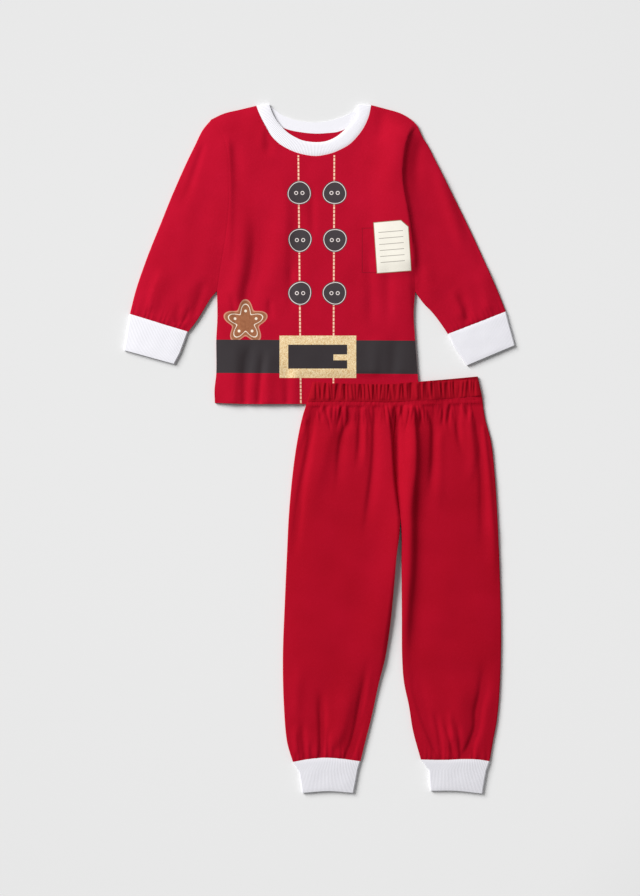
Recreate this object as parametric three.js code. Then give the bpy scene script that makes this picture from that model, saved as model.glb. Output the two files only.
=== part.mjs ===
import * as THREE from "three";

// Christmas pyjamas laid flat: a long-sleeved top and trousers, in millimetres.
// The top's right sleeve and the trousers' right leg are on the viewer's left.
const WALL = 1.5;
const BAND_WALL = 1.8;
const SEAM_GAP = 0.3;

const TOP_LOFT = 2.2;
const LEG_LOFT = 2.6;
const BAND_LOFT = 0.9;
const PRESSED_LOFT = 0.3;
const EDGE_ROLL = 11;

// The trousers lie over the top's hem, and slope down to the floor beyond it.
const HEM_LIFT = 2 * WALL + SEAM_GAP + PRESSED_LOFT + SEAM_GAP;
const HEM_LINE = 57;
const HEM_CORNER = 150;
const LIFT_SLOPE = 28;
const PRESS_LEFT = -22;
const PRESS_TOP = 96;
const PRESS_BLEND = 14;

const FRONT_GATHER = 1.3;
const BACK_GATHER = 0.5;
const LEG_GATHER = 0.9;
const LEG_GATHER_LENGTH = 20;

const SIDE_ROWS = 10;
const ARMHOLE_ROWS = 13;
const SHOULDER_COLUMNS = 4;
const NECK_COLUMNS = 22;
const BACK_NECK_COLUMNS = 16;
const BAND_LEVELS = 3;
const SLEEVE_ROWS = 11;
const RISE_SHARES = [0, 0.045, 0.14, 0.28, 0.48, 0.74, 1];
const RISE_OF_OUTER = 0.32;
const INSEAM_ROWS = 9;
const CUFF_COLUMNS = 9;
const SIDE_REACH = 0.22;
const NECK_STUB = 4;

const CENTRE_X = -1;
const CENTRE_Y = -0.75;

const RED = 0xb81a30;
const WHITE = 0xeeedf1;

const table = (columns, rows) =>
  rows.map((row) => Object.fromEntries(columns.map((name, i) => [name, row[i]])));
const places = (...rows) => table(["x", "y"], rows);

const TOP = {
  sideRight: places([-147, 63], [-147.5, 81], [-145, 105], [-145, 151], [-143.5, 182], [-144, 220]),
  sideLeft: places([138.5, 61], [137.5, 89.5], [135, 123], [132.5, 158], [131, 189], [133, 218.5]),
  armholeRight: places(
    [-144, 220], [-138.5, 256], [-131.5, 298], [-127.5, 337.5],
    [-127, 382], [-130, 417], [-137, 438], [-152.5, 459],
  ),
  armholeLeft: places(
    [133, 218.5], [131.5, 256], [130, 294], [125.5, 325], [119, 353],
    [116, 376.5], [115.5, 403], [119, 425.5], [137, 449.5],
  ),
  hem: places([-147, 63], [-98, 61.5], [-31, 61.5], [56, 60], [138.5, 61]),
  shoulderRight: places([-152.5, 459], [-134.5, 467.5], [-112, 473], [-89, 478.5]),
  shoulderLeft: places([71.5, 479.5], [92.5, 474], [113.5, 467.5], [129, 458], [137, 449.5]),
  sleeveRightOuter: places(
    [-152.5, 459], [-164, 445], [-175, 423], [-186, 400.5], [-206, 355.5],
    [-224, 311], [-242, 266], [-257.5, 221], [-266, 187.5],
  ),
  sleeveRightInner: places(
    [-144, 220], [-152.5, 210], [-159.5, 199], [-166.5, 187.5], [-173.5, 176.5], [-184.5, 162.5],
  ),
  sleeveLeftOuter: places(
    [137, 449.5], [144, 434], [151, 423], [162.5, 400.5], [185, 355.5],
    [207, 311], [228, 266], [248, 221], [260, 191],
  ),
  sleeveLeftInner: places([133, 218.5], [144.5, 203], [157, 190], [170, 173], [179, 159.5]),
};

const NECK = {
  frontSeam: places(
    [-89, 478.5], [-84, 465], [-77, 451], [-68, 436], [-57.5, 425.5], [-46, 418.5],
    [-32, 412.5], [-17, 409], [-5, 408], [6.5, 409.5], [18, 412.5], [29.5, 417.5],
    [41.5, 424.5], [52, 435], [61, 447.5], [68, 463], [71.5, 479.5],
  ),
  frontEdge: places(
    [-71.5, 481.5], [-66.5, 468.5], [-59.5, 456], [-47, 442.5], [-37.5, 436],
    [-26, 430.5], [-14.5, 428], [-5, 427.5], [4, 428], [13.5, 430.5],
    [24, 436], [34.5, 445], [48.5, 460.5], [52, 471], [54, 481.5],
  ),
  backSeam: places(
    [-89, 478.5], [-80, 467], [-68.5, 457], [-54.5, 449.5], [-42.5, 445], [-23.5, 441.5],
    [-5, 440], [13.5, 441], [25, 442.5], [38, 447.5], [52, 455.5], [63.5, 467], [71.5, 479.5],
  ),
  backEdge: places(
    [-71.5, 481.5], [-66.5, 475.5], [-59.5, 470.5], [-51.5, 465], [-37.5, 459.5], [-22.5, 456.5],
    [-6.5, 455.5], [10, 457], [25, 461], [39, 466.5], [48.5, 472.5], [54, 481.5],
  ),
};

// Each cuff is a row of lines from its outer edge to its inner edge, from the seam to the open end.
const CUFFS = {
  cuff_right: [
    places([-266, 187.5], [-184.5, 162.5]),
    places([-269, 171], [-190, 147.5]),
    places([-271.5, 154], [-195.5, 132.5]),
    places([-274.5, 137], [-203.5, 117.5]),
  ],
  cuff_left: [
    places([260, 191], [179, 159.5]),
    places([264, 175], [186, 144]),
    places([268.5, 159], [195.5, 130]),
    places([272.5, 144], [205, 115.5]),
  ],
  ankle_cuff_right: [
    places([-38, -439], [-16.5, -435], [5, -433], [26.5, -434], [56.5, -438]),
    places([-29.5, -452], [11, -450], [53, -450]),
    places([-27, -467], [11, -465], [50, -467]),
    places([-25, -482], [11, -479.5], [47, -482]),
  ],
  ankle_cuff_left: [
    places([237.5, -438], [221.5, -435.5], [200, -435], [172, -436], [141, -435.5]),
    places([233, -451], [192, -449.5], [152, -450]),
    places([230, -467], [190, -464.5], [153, -465]),
    places([227.5, -483], [189, -479], [154, -479]),
  ],
};

const TROUSERS = {
  waistTop: places(
    [-10, 92.5], [14, 90.5], [54, 89.5], [95, 89], [137.5, 92.5], [177.5, 96], [220.5, 100],
  ),
  waistSeam: places(
    [-18, 64.5], [14, 65], [54, 65], [105, 64.5], [136.5, 66.5], [182, 69.5], [226.5, 73.5],
  ),
  rightOuter: places(
    [-18, 64.5], [-25, 42], [-32, 8.5], [-38, -33.5], [-43.5, -92.5], [-46, -143],
    [-49, -210], [-52, -294], [-50.5, -361], [-46, -411.5], [-38, -439],
  ),
  leftOuter: places(
    [226.5, 73.5], [231, 42], [239.5, 8.5], [245, -42], [249, -109], [252, -185],
    [253.5, -260.5], [252, -327.5], [248, -378], [242, -411.5], [237.5, -438],
  ),
  rise: places(
    [105, 64.5], [106, 39], [103.5, 11], [103, -12.5], [106.5, -42], [109, -68.5], [112.5, -96.5],
  ),
  rightInseam: places(
    [112.5, -96.5], [110.5, -122], [107, -150], [102, -210], [96.5, -260.5],
    [91, -294], [82.5, -327.5], [71.5, -378], [63, -411.5], [56.5, -438],
  ),
  leftInseam: places(
    [112.5, -96.5], [114, -122], [114, -157], [114.5, -227], [115, -294],
    [117.5, -327.5], [124.5, -361], [130, -395], [141, -435.5],
  ),
};

const WAIST_CREASES = [
  -3, 5.5, 18, 24, 32, 39, 50.5, 60, 67, 74, 81, 91, 101,
  108, 115, 123, 130, 141.5, 150, 155.5, 164, 172, 180.5, 189, 196, 206, 214,
];

// Each fold has a height, a width on its left and on its right as it runs down, and the length
// over which each end fades out. A height below 0 is a trough.
const FOLD_COLUMNS = ["height", "left", "right", "fadeIn", "fadeOut", "path"];

const TOP_FOLDS = table(FOLD_COLUMNS, [
  [1.6, 8, 14, 30, 14, places([-213, 260.5], [-231, 221], [-239.5, 187.5])],
  [3, 16, 12, 90, 40, places([-116, 353], [-108, 312], [-108, 277], [-112.5, 242], [-118.5, 207],
    [-117.5, 176.5])],
  [-2.6, 10, 20, 90, 40, places([-99.5, 361], [-91, 312], [-91, 277], [-95, 242], [-101, 214],
    [-99.5, 176.5])],
  [2.4, 22, 11, 60, 60, places([-61.5, 396], [-50.5, 347], [-50.5, 277], [-59, 207])],
  [4.6, 36, 8, 22, 55, places([131.5, 456.5], [120.5, 431], [115, 403], [114, 372.5], [119.5, 339],
    [124.5, 305], [129, 274.5], [130, 235])],
  [5, 42, 23, 30, 130, places([129, 456.5], [117.5, 431], [112, 403], [111.5, 372.5], [117, 339],
    [122, 305], [126, 274.5], [127.5, 235])],
  [1.6, 22, 8, 50, 40, places([119, 285.5], [124.5, 221], [127.5, 159.5])],
  [-2.6, 8, 8, 40, 6, places([-95, 157], [-103.5, 106.5], [-105, 59])],
  [-2, 8, 8, 30, 6, places([-77.5, 143], [-84.5, 84], [-86, 59])],
  [1.4, 8, 11, 34, 6, places([-68.5, 154], [-71.5, 109], [-73, 59])],
  [-1.6, 8, 8, 20, 6, places([-46, 123], [-46, 59])],
  [-1.4, 8, 8, 24, 10, places([105, 162.5], [102, 95])],
  [1.8, 9, 9, 40, 40, places([159.5, 406], [180.5, 340], [199, 280], [201.5, 260.5])],
  [1.4, 10, 12, 20, 30, places([150, 260.5], [152.5, 221], [164, 199])],
  [-1.7, 8, 8, 20, 10, places([190.5, 224], [204.5, 196], [206, 171])],
  [1.4, 10, 12, 30, 14, places([222.5, 260.5], [232.5, 213], [235, 185])],
]);

const LEG_FOLDS = table(FOLD_COLUMNS, [
  [1.8, 6, 7, 10, 60, places([-19.5, 47.5], [-22.5, 25], [-29.5, 3], [-35, -19.5])],
  [-2.5, 6, 7, 8, 90, places([-9.5, 59], [-11, 36.5], [-13, 17], [-18, -11], [-26, -56],
    [-33, -115], [-39, -171])],
  [2.3, 20, 13, 40, 110, places([-4, 61.5], [14, 25], [8.5, 3], [-1.5, -31], [-12.5, -73],
    [-19.5, -129])],
  [-2.4, 6, 8, 4, 80, places([42, 70], [40.5, 39], [32, 19.5], [28, -3], [25, -45], [22.5, -73])],
  [-2.2, 6, 7, 4, 45, places([54.5, 70], [55.5, 39], [54.5, -3], [50, -36.5])],
  [-2.4, 6, 8, 4, 80, places([74, 70], [75.5, 39], [75.5, 4], [73.5, -31], [67, -87], [60, -136])],
  [1.6, 6, 7, 10, 60, places([61.5, 61.5], [63, 3], [59, -45])],
  [4.4, 24, 7, 40, 130, places([95, 70], [96.5, 32], [98.5, 4], [101.5, -45], [106.5, -87],
    [106.5, -129], [98.5, -199], [89, -269], [80, -325], [70, -369.5])],
  [-2.6, 6, 7, 4, 30, places([106.5, 70], [108, 32], [108, -14], [110, -59], [115, -101])],
  [4.8, 12, 7, 26, 70, places([127.5, 73], [131.5, 32], [133, 4], [132.5, -24], [130, -59],
    [129.5, -101])],
  [4.2, 12, 9, 60, 90, places([128, -31], [126, -73], [125.5, -129], [124, -171], [121, -220],
    [118.5, -269], [117, -325])],
  [-2.4, 6, 22, 50, 110, places([137, -31], [137, -129], [136, -171], [131.5, -220], [129, -269],
    [127.5, -332])],
  [5, 16, 28, 70, 250, places([124.5, 73], [129, 32], [129, 4], [126, -24], [122, -73],
    [117.5, -129], [116, -171], [116, -220], [116, -269], [117.5, -339])],
  [-2.8, 6, 10, 4, 60, places([148.5, 64.5], [157, 39], [158, 4], [157, -31], [152.5, -73])],
  [-2.5, 6, 7, 4, 50, places([187.5, 70], [191.5, 45], [194.5, 11], [204, -17])],
  [1.8, 7, 7, 12, 50, places([210, 56], [211.5, 22.5], [214, -17], [207, -59])],
  [-2.2, 6, 9, 8, 90, places([219, 67], [221, 32], [224.5, 3], [227, -45], [227.5, -115],
    [224.5, -157])],
  [2, 7, 7, 16, 110, places([227, 39], [231, 4], [236.5, -45], [239.5, -87], [243, -129],
    [243.5, -213])],
  [-1.8, 6, 7, 24, 4, places([-25, -375], [-21, -442.5])],
  [-3.4, 6, 7, 50, 4, places([0.5, -327.5], [3, -381], [3, -416], [1.5, -445])],
  [2.4, 15, 10, 50, 24, places([45, -313.5], [38, -361], [29.5, -395], [15.5, -425.5])],
  [-3.2, 6, 7, 80, 4, places([69.5, -283], [61, -339], [55.5, -369.5], [50.5, -395], [44, -416],
    [33, -445])],
  [-2.2, 6, 13, 50, 30, places([128, -290], [138, -353], [153.5, -402], [170, -442.5])],
  [-1.7, 6, 7, 26, 4, places([159, -361], [166, -395], [172, -442.5])],
  [-1.7, 6, 7, 24, 4, places([171.5, -375], [183, -411.5], [187, -442.5])],
  [-1.6, 6, 7, 20, 4, places([191, -378], [195.5, -414.5], [197, -442.5])],
  [2.2, 15, 15, 50, 24, places([201.5, -308], [197.5, -358.5], [194.5, -392], [182, -425.5])],
  [-3.6, 6, 9, 70, 4, places([231, -283], [227, -339], [220.5, -367], [218.5, -392],
    [211.5, -411.5], [196, -442.5])],
]);

const vectors = (rows) => rows.map(({ x, y }) => new THREE.Vector3(x, y, 0));

function curve(rows) {
  return new THREE.CatmullRomCurve3(vectors(rows), false, "centripetal");
}

const trace = (rows, count) => curve(rows).getSpacedPoints(count);
const smooth = (t) => THREE.MathUtils.smoothstep(t, 0, 1);
const rise = (distance) => 1 - Math.exp(-distance / EDGE_ROLL);

// The nearest place on a line of nodes: how far away it is, how far along and on which side.
function nearest(nodes, p) {
  let best = { distance: Infinity, along: 0, side: 0 };
  let walked = 0;
  for (let i = 1; i < nodes.length; i++) {
    const a = nodes[i - 1];
    const b = nodes[i];
    const dx = b.x - a.x;
    const dy = b.y - a.y;
    const length = Math.hypot(dx, dy);
    const raw = ((p.x - a.x) * dx + (p.y - a.y) * dy) / length ** 2;
    const t = THREE.MathUtils.clamp(raw, 0, 1);
    const distance = Math.hypot(p.x - a.x - t * dx, p.y - a.y - t * dy);
    const side = dx * (p.y - a.y) - dy * (p.x - a.x);
    if (distance < best.distance) best = { distance, along: walked + t * length, side };
    walked += length;
  }
  return { ...best, length: walked };
}

const edgeDistance = (lines, p) => Math.min(...lines.map((nodes) => nearest(nodes, p).distance));

function foldHeight(folds, p) {
  let sum = 0;
  for (const { height, left, right, fadeIn, fadeOut, nodes } of folds) {
    const { distance, along, side, length } = nearest(nodes, p);
    const ends = smooth(along / fadeIn) * smooth((length - along) / fadeOut);
    sum += height * ends * Math.exp(-((distance / (side > 0 ? right : left)) ** 2));
  }
  return sum;
}

const withNodes = (folds) => folds.map((fold) => ({ ...fold, nodes: vectors(fold.path) }));
const topFolds = withNodes(TOP_FOLDS);
const legFolds = withNodes(LEG_FOLDS);

const positive = (value) => 0.5 * (value + Math.sqrt(value ** 2 + 0.16));

const topRims = [
  TOP.sideRight, TOP.sideLeft, TOP.shoulderRight, TOP.shoulderLeft,
  TOP.sleeveRightOuter, TOP.sleeveRightInner, TOP.sleeveLeftOuter, TOP.sleeveLeftInner,
].map((rows) => trace(rows, 12));

// How far the trousers' weight presses the top's front flat: 1 under them and 0 away from them.
function pressed(p) {
  const fromLeft = smooth((p.x - PRESS_LEFT) / PRESS_BLEND + 1);
  const fromTop = smooth((PRESS_TOP - p.y) / PRESS_BLEND + 1);
  return fromLeft * fromTop;
}

function topHeight(p) {
  const loose = positive(TOP_LOFT * rise(edgeDistance(topRims, p)) + foldHeight(topFolds, p));
  return 2 * WALL + SEAM_GAP + THREE.MathUtils.lerp(loose, PRESSED_LOFT, pressed(p));
}

function lift(p) {
  const beyondSide = smooth((HEM_CORNER + LIFT_SLOPE - p.x) / LIFT_SLOPE);
  const beyondHem = smooth((p.y - HEM_LINE + LIFT_SLOPE) / LIFT_SLOPE);
  return HEM_LIFT * beyondSide * beyondHem;
}

const legRims = [TROUSERS.rightOuter, TROUSERS.leftOuter, TROUSERS.rightInseam, TROUSERS.leftInseam]
  .map((rows) => trace(rows, 16));
const waistSeam = curve(TROUSERS.waistSeam);
const waistNodes = waistSeam.getSpacedPoints(40);

function legHeight(p, gather) {
  const near = Math.exp(-nearest(waistNodes, p).distance / LEG_GATHER_LENGTH);
  const loft = LEG_LOFT * rise(edgeDistance(legRims, p)) + foldHeight(legFolds, p);
  return lift(p) + 2 * WALL + SEAM_GAP + positive(loft + LEG_GATHER * near * (gather - 0.5));
}

// A grid of places between four lines of nodes that meet at its corners. The left and right
// lines bend the grid over `reach`, a share of its width.
function patch(near, far, left, right, reach = 1) {
  const across = shares(near, far);
  const along = shares(left, right);
  const fade = (t) => Math.max(0, 1 - t / reach);
  const bend = (line, a, b, i) => line[i].clone().sub(a.clone().lerp(b, along[i]));
  return left.map((_, i) => {
    const fromLeft = bend(left, near[0], far[0], i);
    const fromRight = bend(right, near.at(-1), far.at(-1), i);
    return near.map((_, j) => {
      const p = near[j].clone().lerp(far[j], along[i]);
      p.addScaledVector(fromLeft, fade(across[j]));
      return p.addScaledVector(fromRight, fade(1 - across[j]));
    });
  });
}

function lengthShares(nodes) {
  const sums = [0];
  for (let i = 1; i < nodes.length; i++) sums.push(sums[i - 1] + nodes[i].distanceTo(nodes[i - 1]));
  return sums.map((sum) => sum / sums.at(-1));
}

function shares(a, b) {
  const first = lengthShares(a);
  const second = lengthShares(b);
  return first.map((share, i) => (share + second[i]) / 2);
}

// A line of nodes moved half a seam gap towards the line of nodes beside it.
function drawnIn(nodes, beside) {
  const normals = nodes.map((_, i) => {
    const before = nodes[Math.max(i - 1, 0)];
    const after = nodes[Math.min(i + 1, nodes.length - 1)];
    return new THREE.Vector3(before.y - after.y, after.x - before.x, 0).normalize();
  });
  const side = normals.reduce((sum, n, i) => sum + n.dot(beside[i].clone().sub(nodes[i])), 0);
  const step = (Math.sign(side) * SEAM_GAP) / 2;
  return nodes.map((node, i) => node.clone().addScaledVector(normals[i], step));
}

function insetNear(grid) {
  return [drawnIn(grid[0], grid[1]), ...grid.slice(1)];
}

const turned = (grid) => grid[0].map((_, j) => grid.map((row) => row[j]));
const upsideDown = (grid) => [...grid].reverse();
const insetFar = (grid) => upsideDown(insetNear(upsideDown(grid)));
const insetLeft = (grid) => turned(insetNear(turned(grid)));
const insetRight = (grid) => turned(insetFar(turned(grid)));

function layer(nodes, height, wall) {
  return nodes.map((p, j) => {
    const z = height(p, j);
    return { out: p.clone().setZ(z), in: p.clone().setZ(z - wall) };
  });
}

// The half ring at a folded edge, from the lower layer to the upper one.
function foldedEdge(axis, outward, topZ, groundZ, wall) {
  const reach = wall + SEAM_GAP / 2;
  const middle = (topZ + groundZ) / 2;
  const half = (topZ - groundZ) / 2;
  return [-45, 0, 45].map((degrees) => {
    const angle = THREE.MathUtils.degToRad(degrees);
    const at = (along, up) => {
      const p = axis.clone().addScaledVector(outward, along * Math.cos(angle));
      return p.setZ(middle + up * Math.sin(angle));
    };
    return { out: at(reach, half), in: at(SEAM_GAP / 2, half - wall) };
  });
}

// A tube laid flat is an upper row and a lower row of places that share a folded edge,
// at their first place, and at their last one too where the tube is closed.
function ring(upper, lower, cloth, closed) {
  const reach = cloth.wall + SEAM_GAP / 2;
  const axisAt = (end, next) => end.clone().lerp(next, reach / end.distanceTo(next));
  const outwardAt = (end, next) => end.clone().sub(next).normalize();
  const folds = [{ end: upper[0], next: upper[1] }];
  if (closed) folds.push({ end: upper.at(-1), next: upper.at(-2) });
  const axes = folds.map(({ end, next }) => axisAt(end, next));
  const cut = (nodes) => {
    const inner = nodes.slice(1, closed ? -1 : undefined);
    return [axes[0], ...inner, ...axes.slice(1)];
  };
  const above = layer(cut(upper), cloth.top, cloth.wall);
  const below = layer(cut(lower), cloth.ground, -cloth.wall);
  const edges = folds.map(({ end, next }, i) => {
    const outward = outwardAt(end, next);
    const topZ = (i ? above.at(-1) : above[0]).out.z;
    const groundZ = (i ? below.at(-1) : below[0]).out.z;
    return foldedEdge(axes[i], outward, topZ, groundZ, cloth.wall);
  });
  const far = closed ? [...edges[1]].reverse() : [];
  return [...[...below].reverse(), ...edges[0], ...above, ...far];
}

function signedVolume(positions, index) {
  const corner = (k) => new THREE.Vector3().fromArray(positions, 3 * index[k]);
  let sum = 0;
  for (let k = 0; k < index.length; k += 3) {
    sum += corner(k).dot(corner(k + 1).cross(corner(k + 2)));
  }
  return sum / 6;
}

function solid(name, positions, index, colour) {
  if (signedVolume(positions, index) < 0) index.reverse();
  const geometry = new THREE.BufferGeometry();
  geometry.setAttribute("position", new THREE.Float32BufferAttribute(positions, 3));
  geometry.setIndex(index);
  geometry.translate(-CENTRE_X, -CENTRE_Y, 0);
  geometry.computeVertexNormals();
  const material = new THREE.MeshStandardMaterial({ color: colour, roughness: 0.9 });
  const mesh = new THREE.Mesh(geometry, material);
  mesh.name = name;
  return mesh;
}

// One closed body from rows of outer and inner places.
function cloth(name, rows, wrap, colour) {
  const count = rows[0].length;
  const inside = rows.length * count;
  const positions = [];
  for (const side of ["out", "in"]) {
    for (const row of rows) for (const place of row) positions.push(...place[side].toArray());
  }
  const index = [];
  const quad = (a, b, c, d) => index.push(a, b, c, a, c, d);
  const at = (i, j) => i * count + (j % count);
  const last = rows.length - 1;
  for (let j = 0; j < (wrap ? count : count - 1); j++) {
    for (let i = 0; i < last; i++) {
      quad(at(i, j), at(i + 1, j), at(i + 1, j + 1), at(i, j + 1));
      quad(
        inside + at(i, j), inside + at(i, j + 1), inside + at(i + 1, j + 1), inside + at(i + 1, j),
      );
    }
    quad(at(0, j), at(0, j + 1), inside + at(0, j + 1), inside + at(0, j));
    quad(at(last, j + 1), at(last, j), inside + at(last, j), inside + at(last, j + 1));
  }
  for (let i = 0; !wrap && i < last; i++) {
    quad(at(i + 1, 0), at(i, 0), inside + at(i, 0), inside + at(i + 1, 0));
    const end = count - 1;
    quad(at(i, end), at(i + 1, end), inside + at(i + 1, end), inside + at(i, end));
  }
  return solid(name, positions, index, colour);
}

const armholes = {
  right: trace(TOP.armholeRight, ARMHOLE_ROWS),
  left: trace(TOP.armholeLeft, ARMHOLE_ROWS),
};
const sides = {
  right: trace(TOP.sideRight, SIDE_ROWS),
  left: trace(TOP.sideLeft, SIDE_ROWS),
};
const shoulders = {
  right: trace(TOP.shoulderRight, SHOULDER_COLUMNS),
  left: trace(TOP.shoulderLeft, SHOULDER_COLUMNS),
};

// The front and back neck lines leave each shoulder together, where the band folds over.
function stubbed(rows, guide, count) {
  const nodes = trace(rows, count);
  const guideNodes = trace(guide, NECK_COLUMNS);
  const towards = (a, b) => a.clone().lerp(b, NECK_STUB / a.distanceTo(b));
  const first = towards(guideNodes[0], guideNodes[1]);
  const last = towards(guideNodes.at(-1), guideNodes.at(-2));
  return [nodes[0], first, ...nodes.slice(1, -1), last, nodes.at(-1)];
}

const necks = {
  front: stubbed(NECK.frontSeam, NECK.frontSeam, NECK_COLUMNS),
  back: stubbed(NECK.backSeam, NECK.frontSeam, BACK_NECK_COLUMNS),
  frontEdge: stubbed(NECK.frontEdge, NECK.frontEdge, NECK_COLUMNS),
  backEdge: stubbed(NECK.backEdge, NECK.frontEdge, BACK_NECK_COLUMNS),
};

const joined = (...lines) => lines.flatMap((nodes, i) => (i ? nodes.slice(1) : nodes));

function front() {
  const top = joined(shoulders.right, necks.front, shoulders.left);
  const hem = curve(TOP.hem);
  const width = top.at(-1).x - top[0].x;
  const near = top.map((p) => hem.getPointAt(THREE.MathUtils.clamp((p.x - top[0].x) / width, 0, 1)));
  const left = joined(sides.right, armholes.right);
  const right = joined(sides.left, armholes.left);
  const plan = insetRight(insetLeft(insetFar(patch(near, top, left, right, SIDE_REACH))));
  const rows = plan.map((row) => layer(row, topHeight, WALL));
  return cloth("top_front", rows, false, RED);
}

function back() {
  const hem = trace(TOP.hem, 24);
  const loop = joined(
    sides.right, armholes.right, shoulders.right, necks.back,
    shoulders.left, [...armholes.left].reverse(), [...sides.left].reverse(), [...hem].reverse(),
  ).slice(0, -1);
  const outline = loop.map((node, i) => {
    const before = loop.at(i - 1);
    const after = loop[(i + 1) % loop.length];
    const inward = new THREE.Vector2(after.y - before.y, before.x - after.x).normalize();
    return new THREE.Vector2(node.x, node.y).addScaledVector(inward, SEAM_GAP / 2);
  });
  const shape = new THREE.Shape(outline);
  const plate = new THREE.ExtrudeGeometry(shape, { depth: WALL, bevelEnabled: false, steps: 1 });
  const positions = [...plate.getAttribute("position").array];
  const corners = Array.from({ length: positions.length / 3 }, (_, i) => i);
  return solid("top_back", positions, corners, RED);
}

function sleeve(name, armhole, outer, inner, cuff) {
  const near = [...armhole].reverse();
  const far = trace(cuff, near.length - 1);
  const plan = patch(near, far, trace(outer, SLEEVE_ROWS), trace(inner, SLEEVE_ROWS));
  const seamed = insetFar(insetNear(plan));
  const jersey = { top: topHeight, ground: () => 0, wall: WALL };
  return cloth(name, seamed.map((row) => ring(row, row, jersey, false)), false, RED);
}

function rib(name, lines) {
  const plan = lines.map((rows) => trace(rows, CUFF_COLUMNS));
  const seamed = insetNear(plan);
  const edges = [seamed.map((row) => row[0]), seamed.map((row) => row.at(-1))];
  const top = (p) => 2 * BAND_WALL + SEAM_GAP + BAND_LOFT * rise(edgeDistance(edges, p));
  const band = { top, ground: () => 0, wall: BAND_WALL };
  return cloth(name, seamed.map((row) => ring(row, row, band, true)), true, WHITE);
}

function neckband() {
  const ends = [0, -1].map((i) => [necks.front.at(i), necks.frontEdge.at(i)]);
  const between = (seam, edge) => {
    const inset = drawnIn(seam, edge);
    return Array.from({ length: BAND_LEVELS + 1 }, (_, k) =>
      inset.map((p, j) => p.clone().lerp(edge[j], k / BAND_LEVELS)),
    );
  };
  const upper = between(necks.front, necks.frontEdge);
  const lower = between(necks.back, necks.backEdge);
  const rows = upper.map((row, k) => {
    const roll = 0.35 * Math.sin((Math.PI * k) / BAND_LEVELS);
    const loft = (p) => (BAND_LOFT + 0.3 + roll) * rise(edgeDistance(ends, p));
    const top = (p) => 2 * BAND_WALL + SEAM_GAP + loft(p);
    return ring(row, lower[k], { top, ground: () => 0, wall: BAND_WALL }, true);
  });
  return cloth("neckband", rows, true, WHITE);
}

// Places along the waist seam: one at each crease and `crests` more between creases.
function waistShares(crests) {
  const width = TROUSERS.waistSeam.at(-1).x - TROUSERS.waistSeam[0].x;
  const toShare = (x) => (x - TROUSERS.waistSeam[0].x) / width;
  const creases = [0, ...WAIST_CREASES.map(toShare), 1];
  const places = [];
  for (let i = 1; i < creases.length; i++) {
    for (let k = 0; k <= crests; k++) {
      const t = k / (crests + 1);
      const share = THREE.MathUtils.lerp(creases[i - 1], creases[i], t);
      places.push({ share, crest: Math.sin(Math.PI * t) });
    }
  }
  return [...places, { share: 1, crest: 0 }];
}

function waistband() {
  const lines = [TROUSERS.waistTop, TROUSERS.waistSeam].map(curve);
  const row = (places, t) =>
    places.map(({ share }) => lines[0].getPointAt(share).lerp(lines[1].getPointAt(share), t));
  const frontPlaces = waistShares(2);
  const backPlaces = waistShares(1);
  const stack = 2 * BAND_WALL + SEAM_GAP + BACK_GATHER;
  const casing = {
    top: (p, j) => lift(p) + stack + FRONT_GATHER * frontPlaces[j].crest,
    ground: (p, j) => lift(p) + BACK_GATHER * backPlaces[j].crest,
    wall: BAND_WALL,
  };
  const seamed = (places) => insetFar([0, 0.5, 1].map((t) => row(places, t)));
  const upper = seamed(frontPlaces);
  const lower = seamed(backPlaces);
  const rows = upper.map((nodes, i) => ring(nodes, lower[i], casing, true));
  return cloth("waistband", rows, true, RED);
}

// A leg's plan starts at its folded outer edge and ends at the rise seam and the inside-leg seam.
function leg(name, outer, inseam, ankle, isRight) {
  const riseLine = curve(TROUSERS.rise);
  const outerLine = curve(outer);
  const inner = joined(
    RISE_SHARES.map((t) => riseLine.getPointAt(t)),
    trace(inseam, INSEAM_ROWS),
  );
  const outerShares = [
    ...RISE_SHARES.map((t) => t * RISE_OF_OUTER),
    ...Array.from({ length: INSEAM_ROWS }, (_, i) =>
      THREE.MathUtils.lerp(RISE_OF_OUTER, 1, (i + 1) / INSEAM_ROWS)),
  ];
  const rise = inner[0];
  const seam = waistShares(1)
    .map(({ share, crest }) => ({ node: waistSeam.getPointAt(share), crest }))
    .filter(({ node }) => (isRight ? node.x < rise.x - 2 : node.x > rise.x + 2));
  if (!isRight) seam.reverse();
  const near = [...seam.map(({ node }) => node), rise];
  const crests = [...seam.map(({ crest }) => crest), 0.5];
  const far = lengthShares(near).map((t) => curve(ankle).getPointAt(t));
  const plan = patch(near, far, outerShares.map((t) => outerLine.getPointAt(t)), inner);
  const seamed = insetRight(insetFar(insetNear(plan)));
  const jersey = { top: (p, j) => legHeight(p, crests[j]), ground: lift, wall: WALL };
  const last = near.length - 1;
  const everyThird = (row) => row.filter((_, j) => j === last || (j % 3 === 0 && j < last - 1));
  const rows = seamed.map((row) => ring(row, everyThird(row), jersey, false));
  return cloth(name, rows, false, RED);
}

const root = new THREE.Group();
root.name = "christmas_pyjamas";
root.add(
  front(),
  back(),
  sleeve(
    "sleeve_right", armholes.right, TOP.sleeveRightOuter, TOP.sleeveRightInner, CUFFS.cuff_right[0],
  ),
  sleeve(
    "sleeve_left", armholes.left, TOP.sleeveLeftOuter, TOP.sleeveLeftInner, CUFFS.cuff_left[0],
  ),
  neckband(),
  waistband(),
  leg(
    "leg_right", TROUSERS.rightOuter, TROUSERS.rightInseam, CUFFS.ankle_cuff_right[0], true,
  ),
  leg(
    "leg_left", TROUSERS.leftOuter, TROUSERS.leftInseam, CUFFS.ankle_cuff_left[0], false,
  ),
);
for (const [name, lines] of Object.entries(CUFFS)) root.add(rib(name, lines));

export default root;
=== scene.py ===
import math

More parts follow.
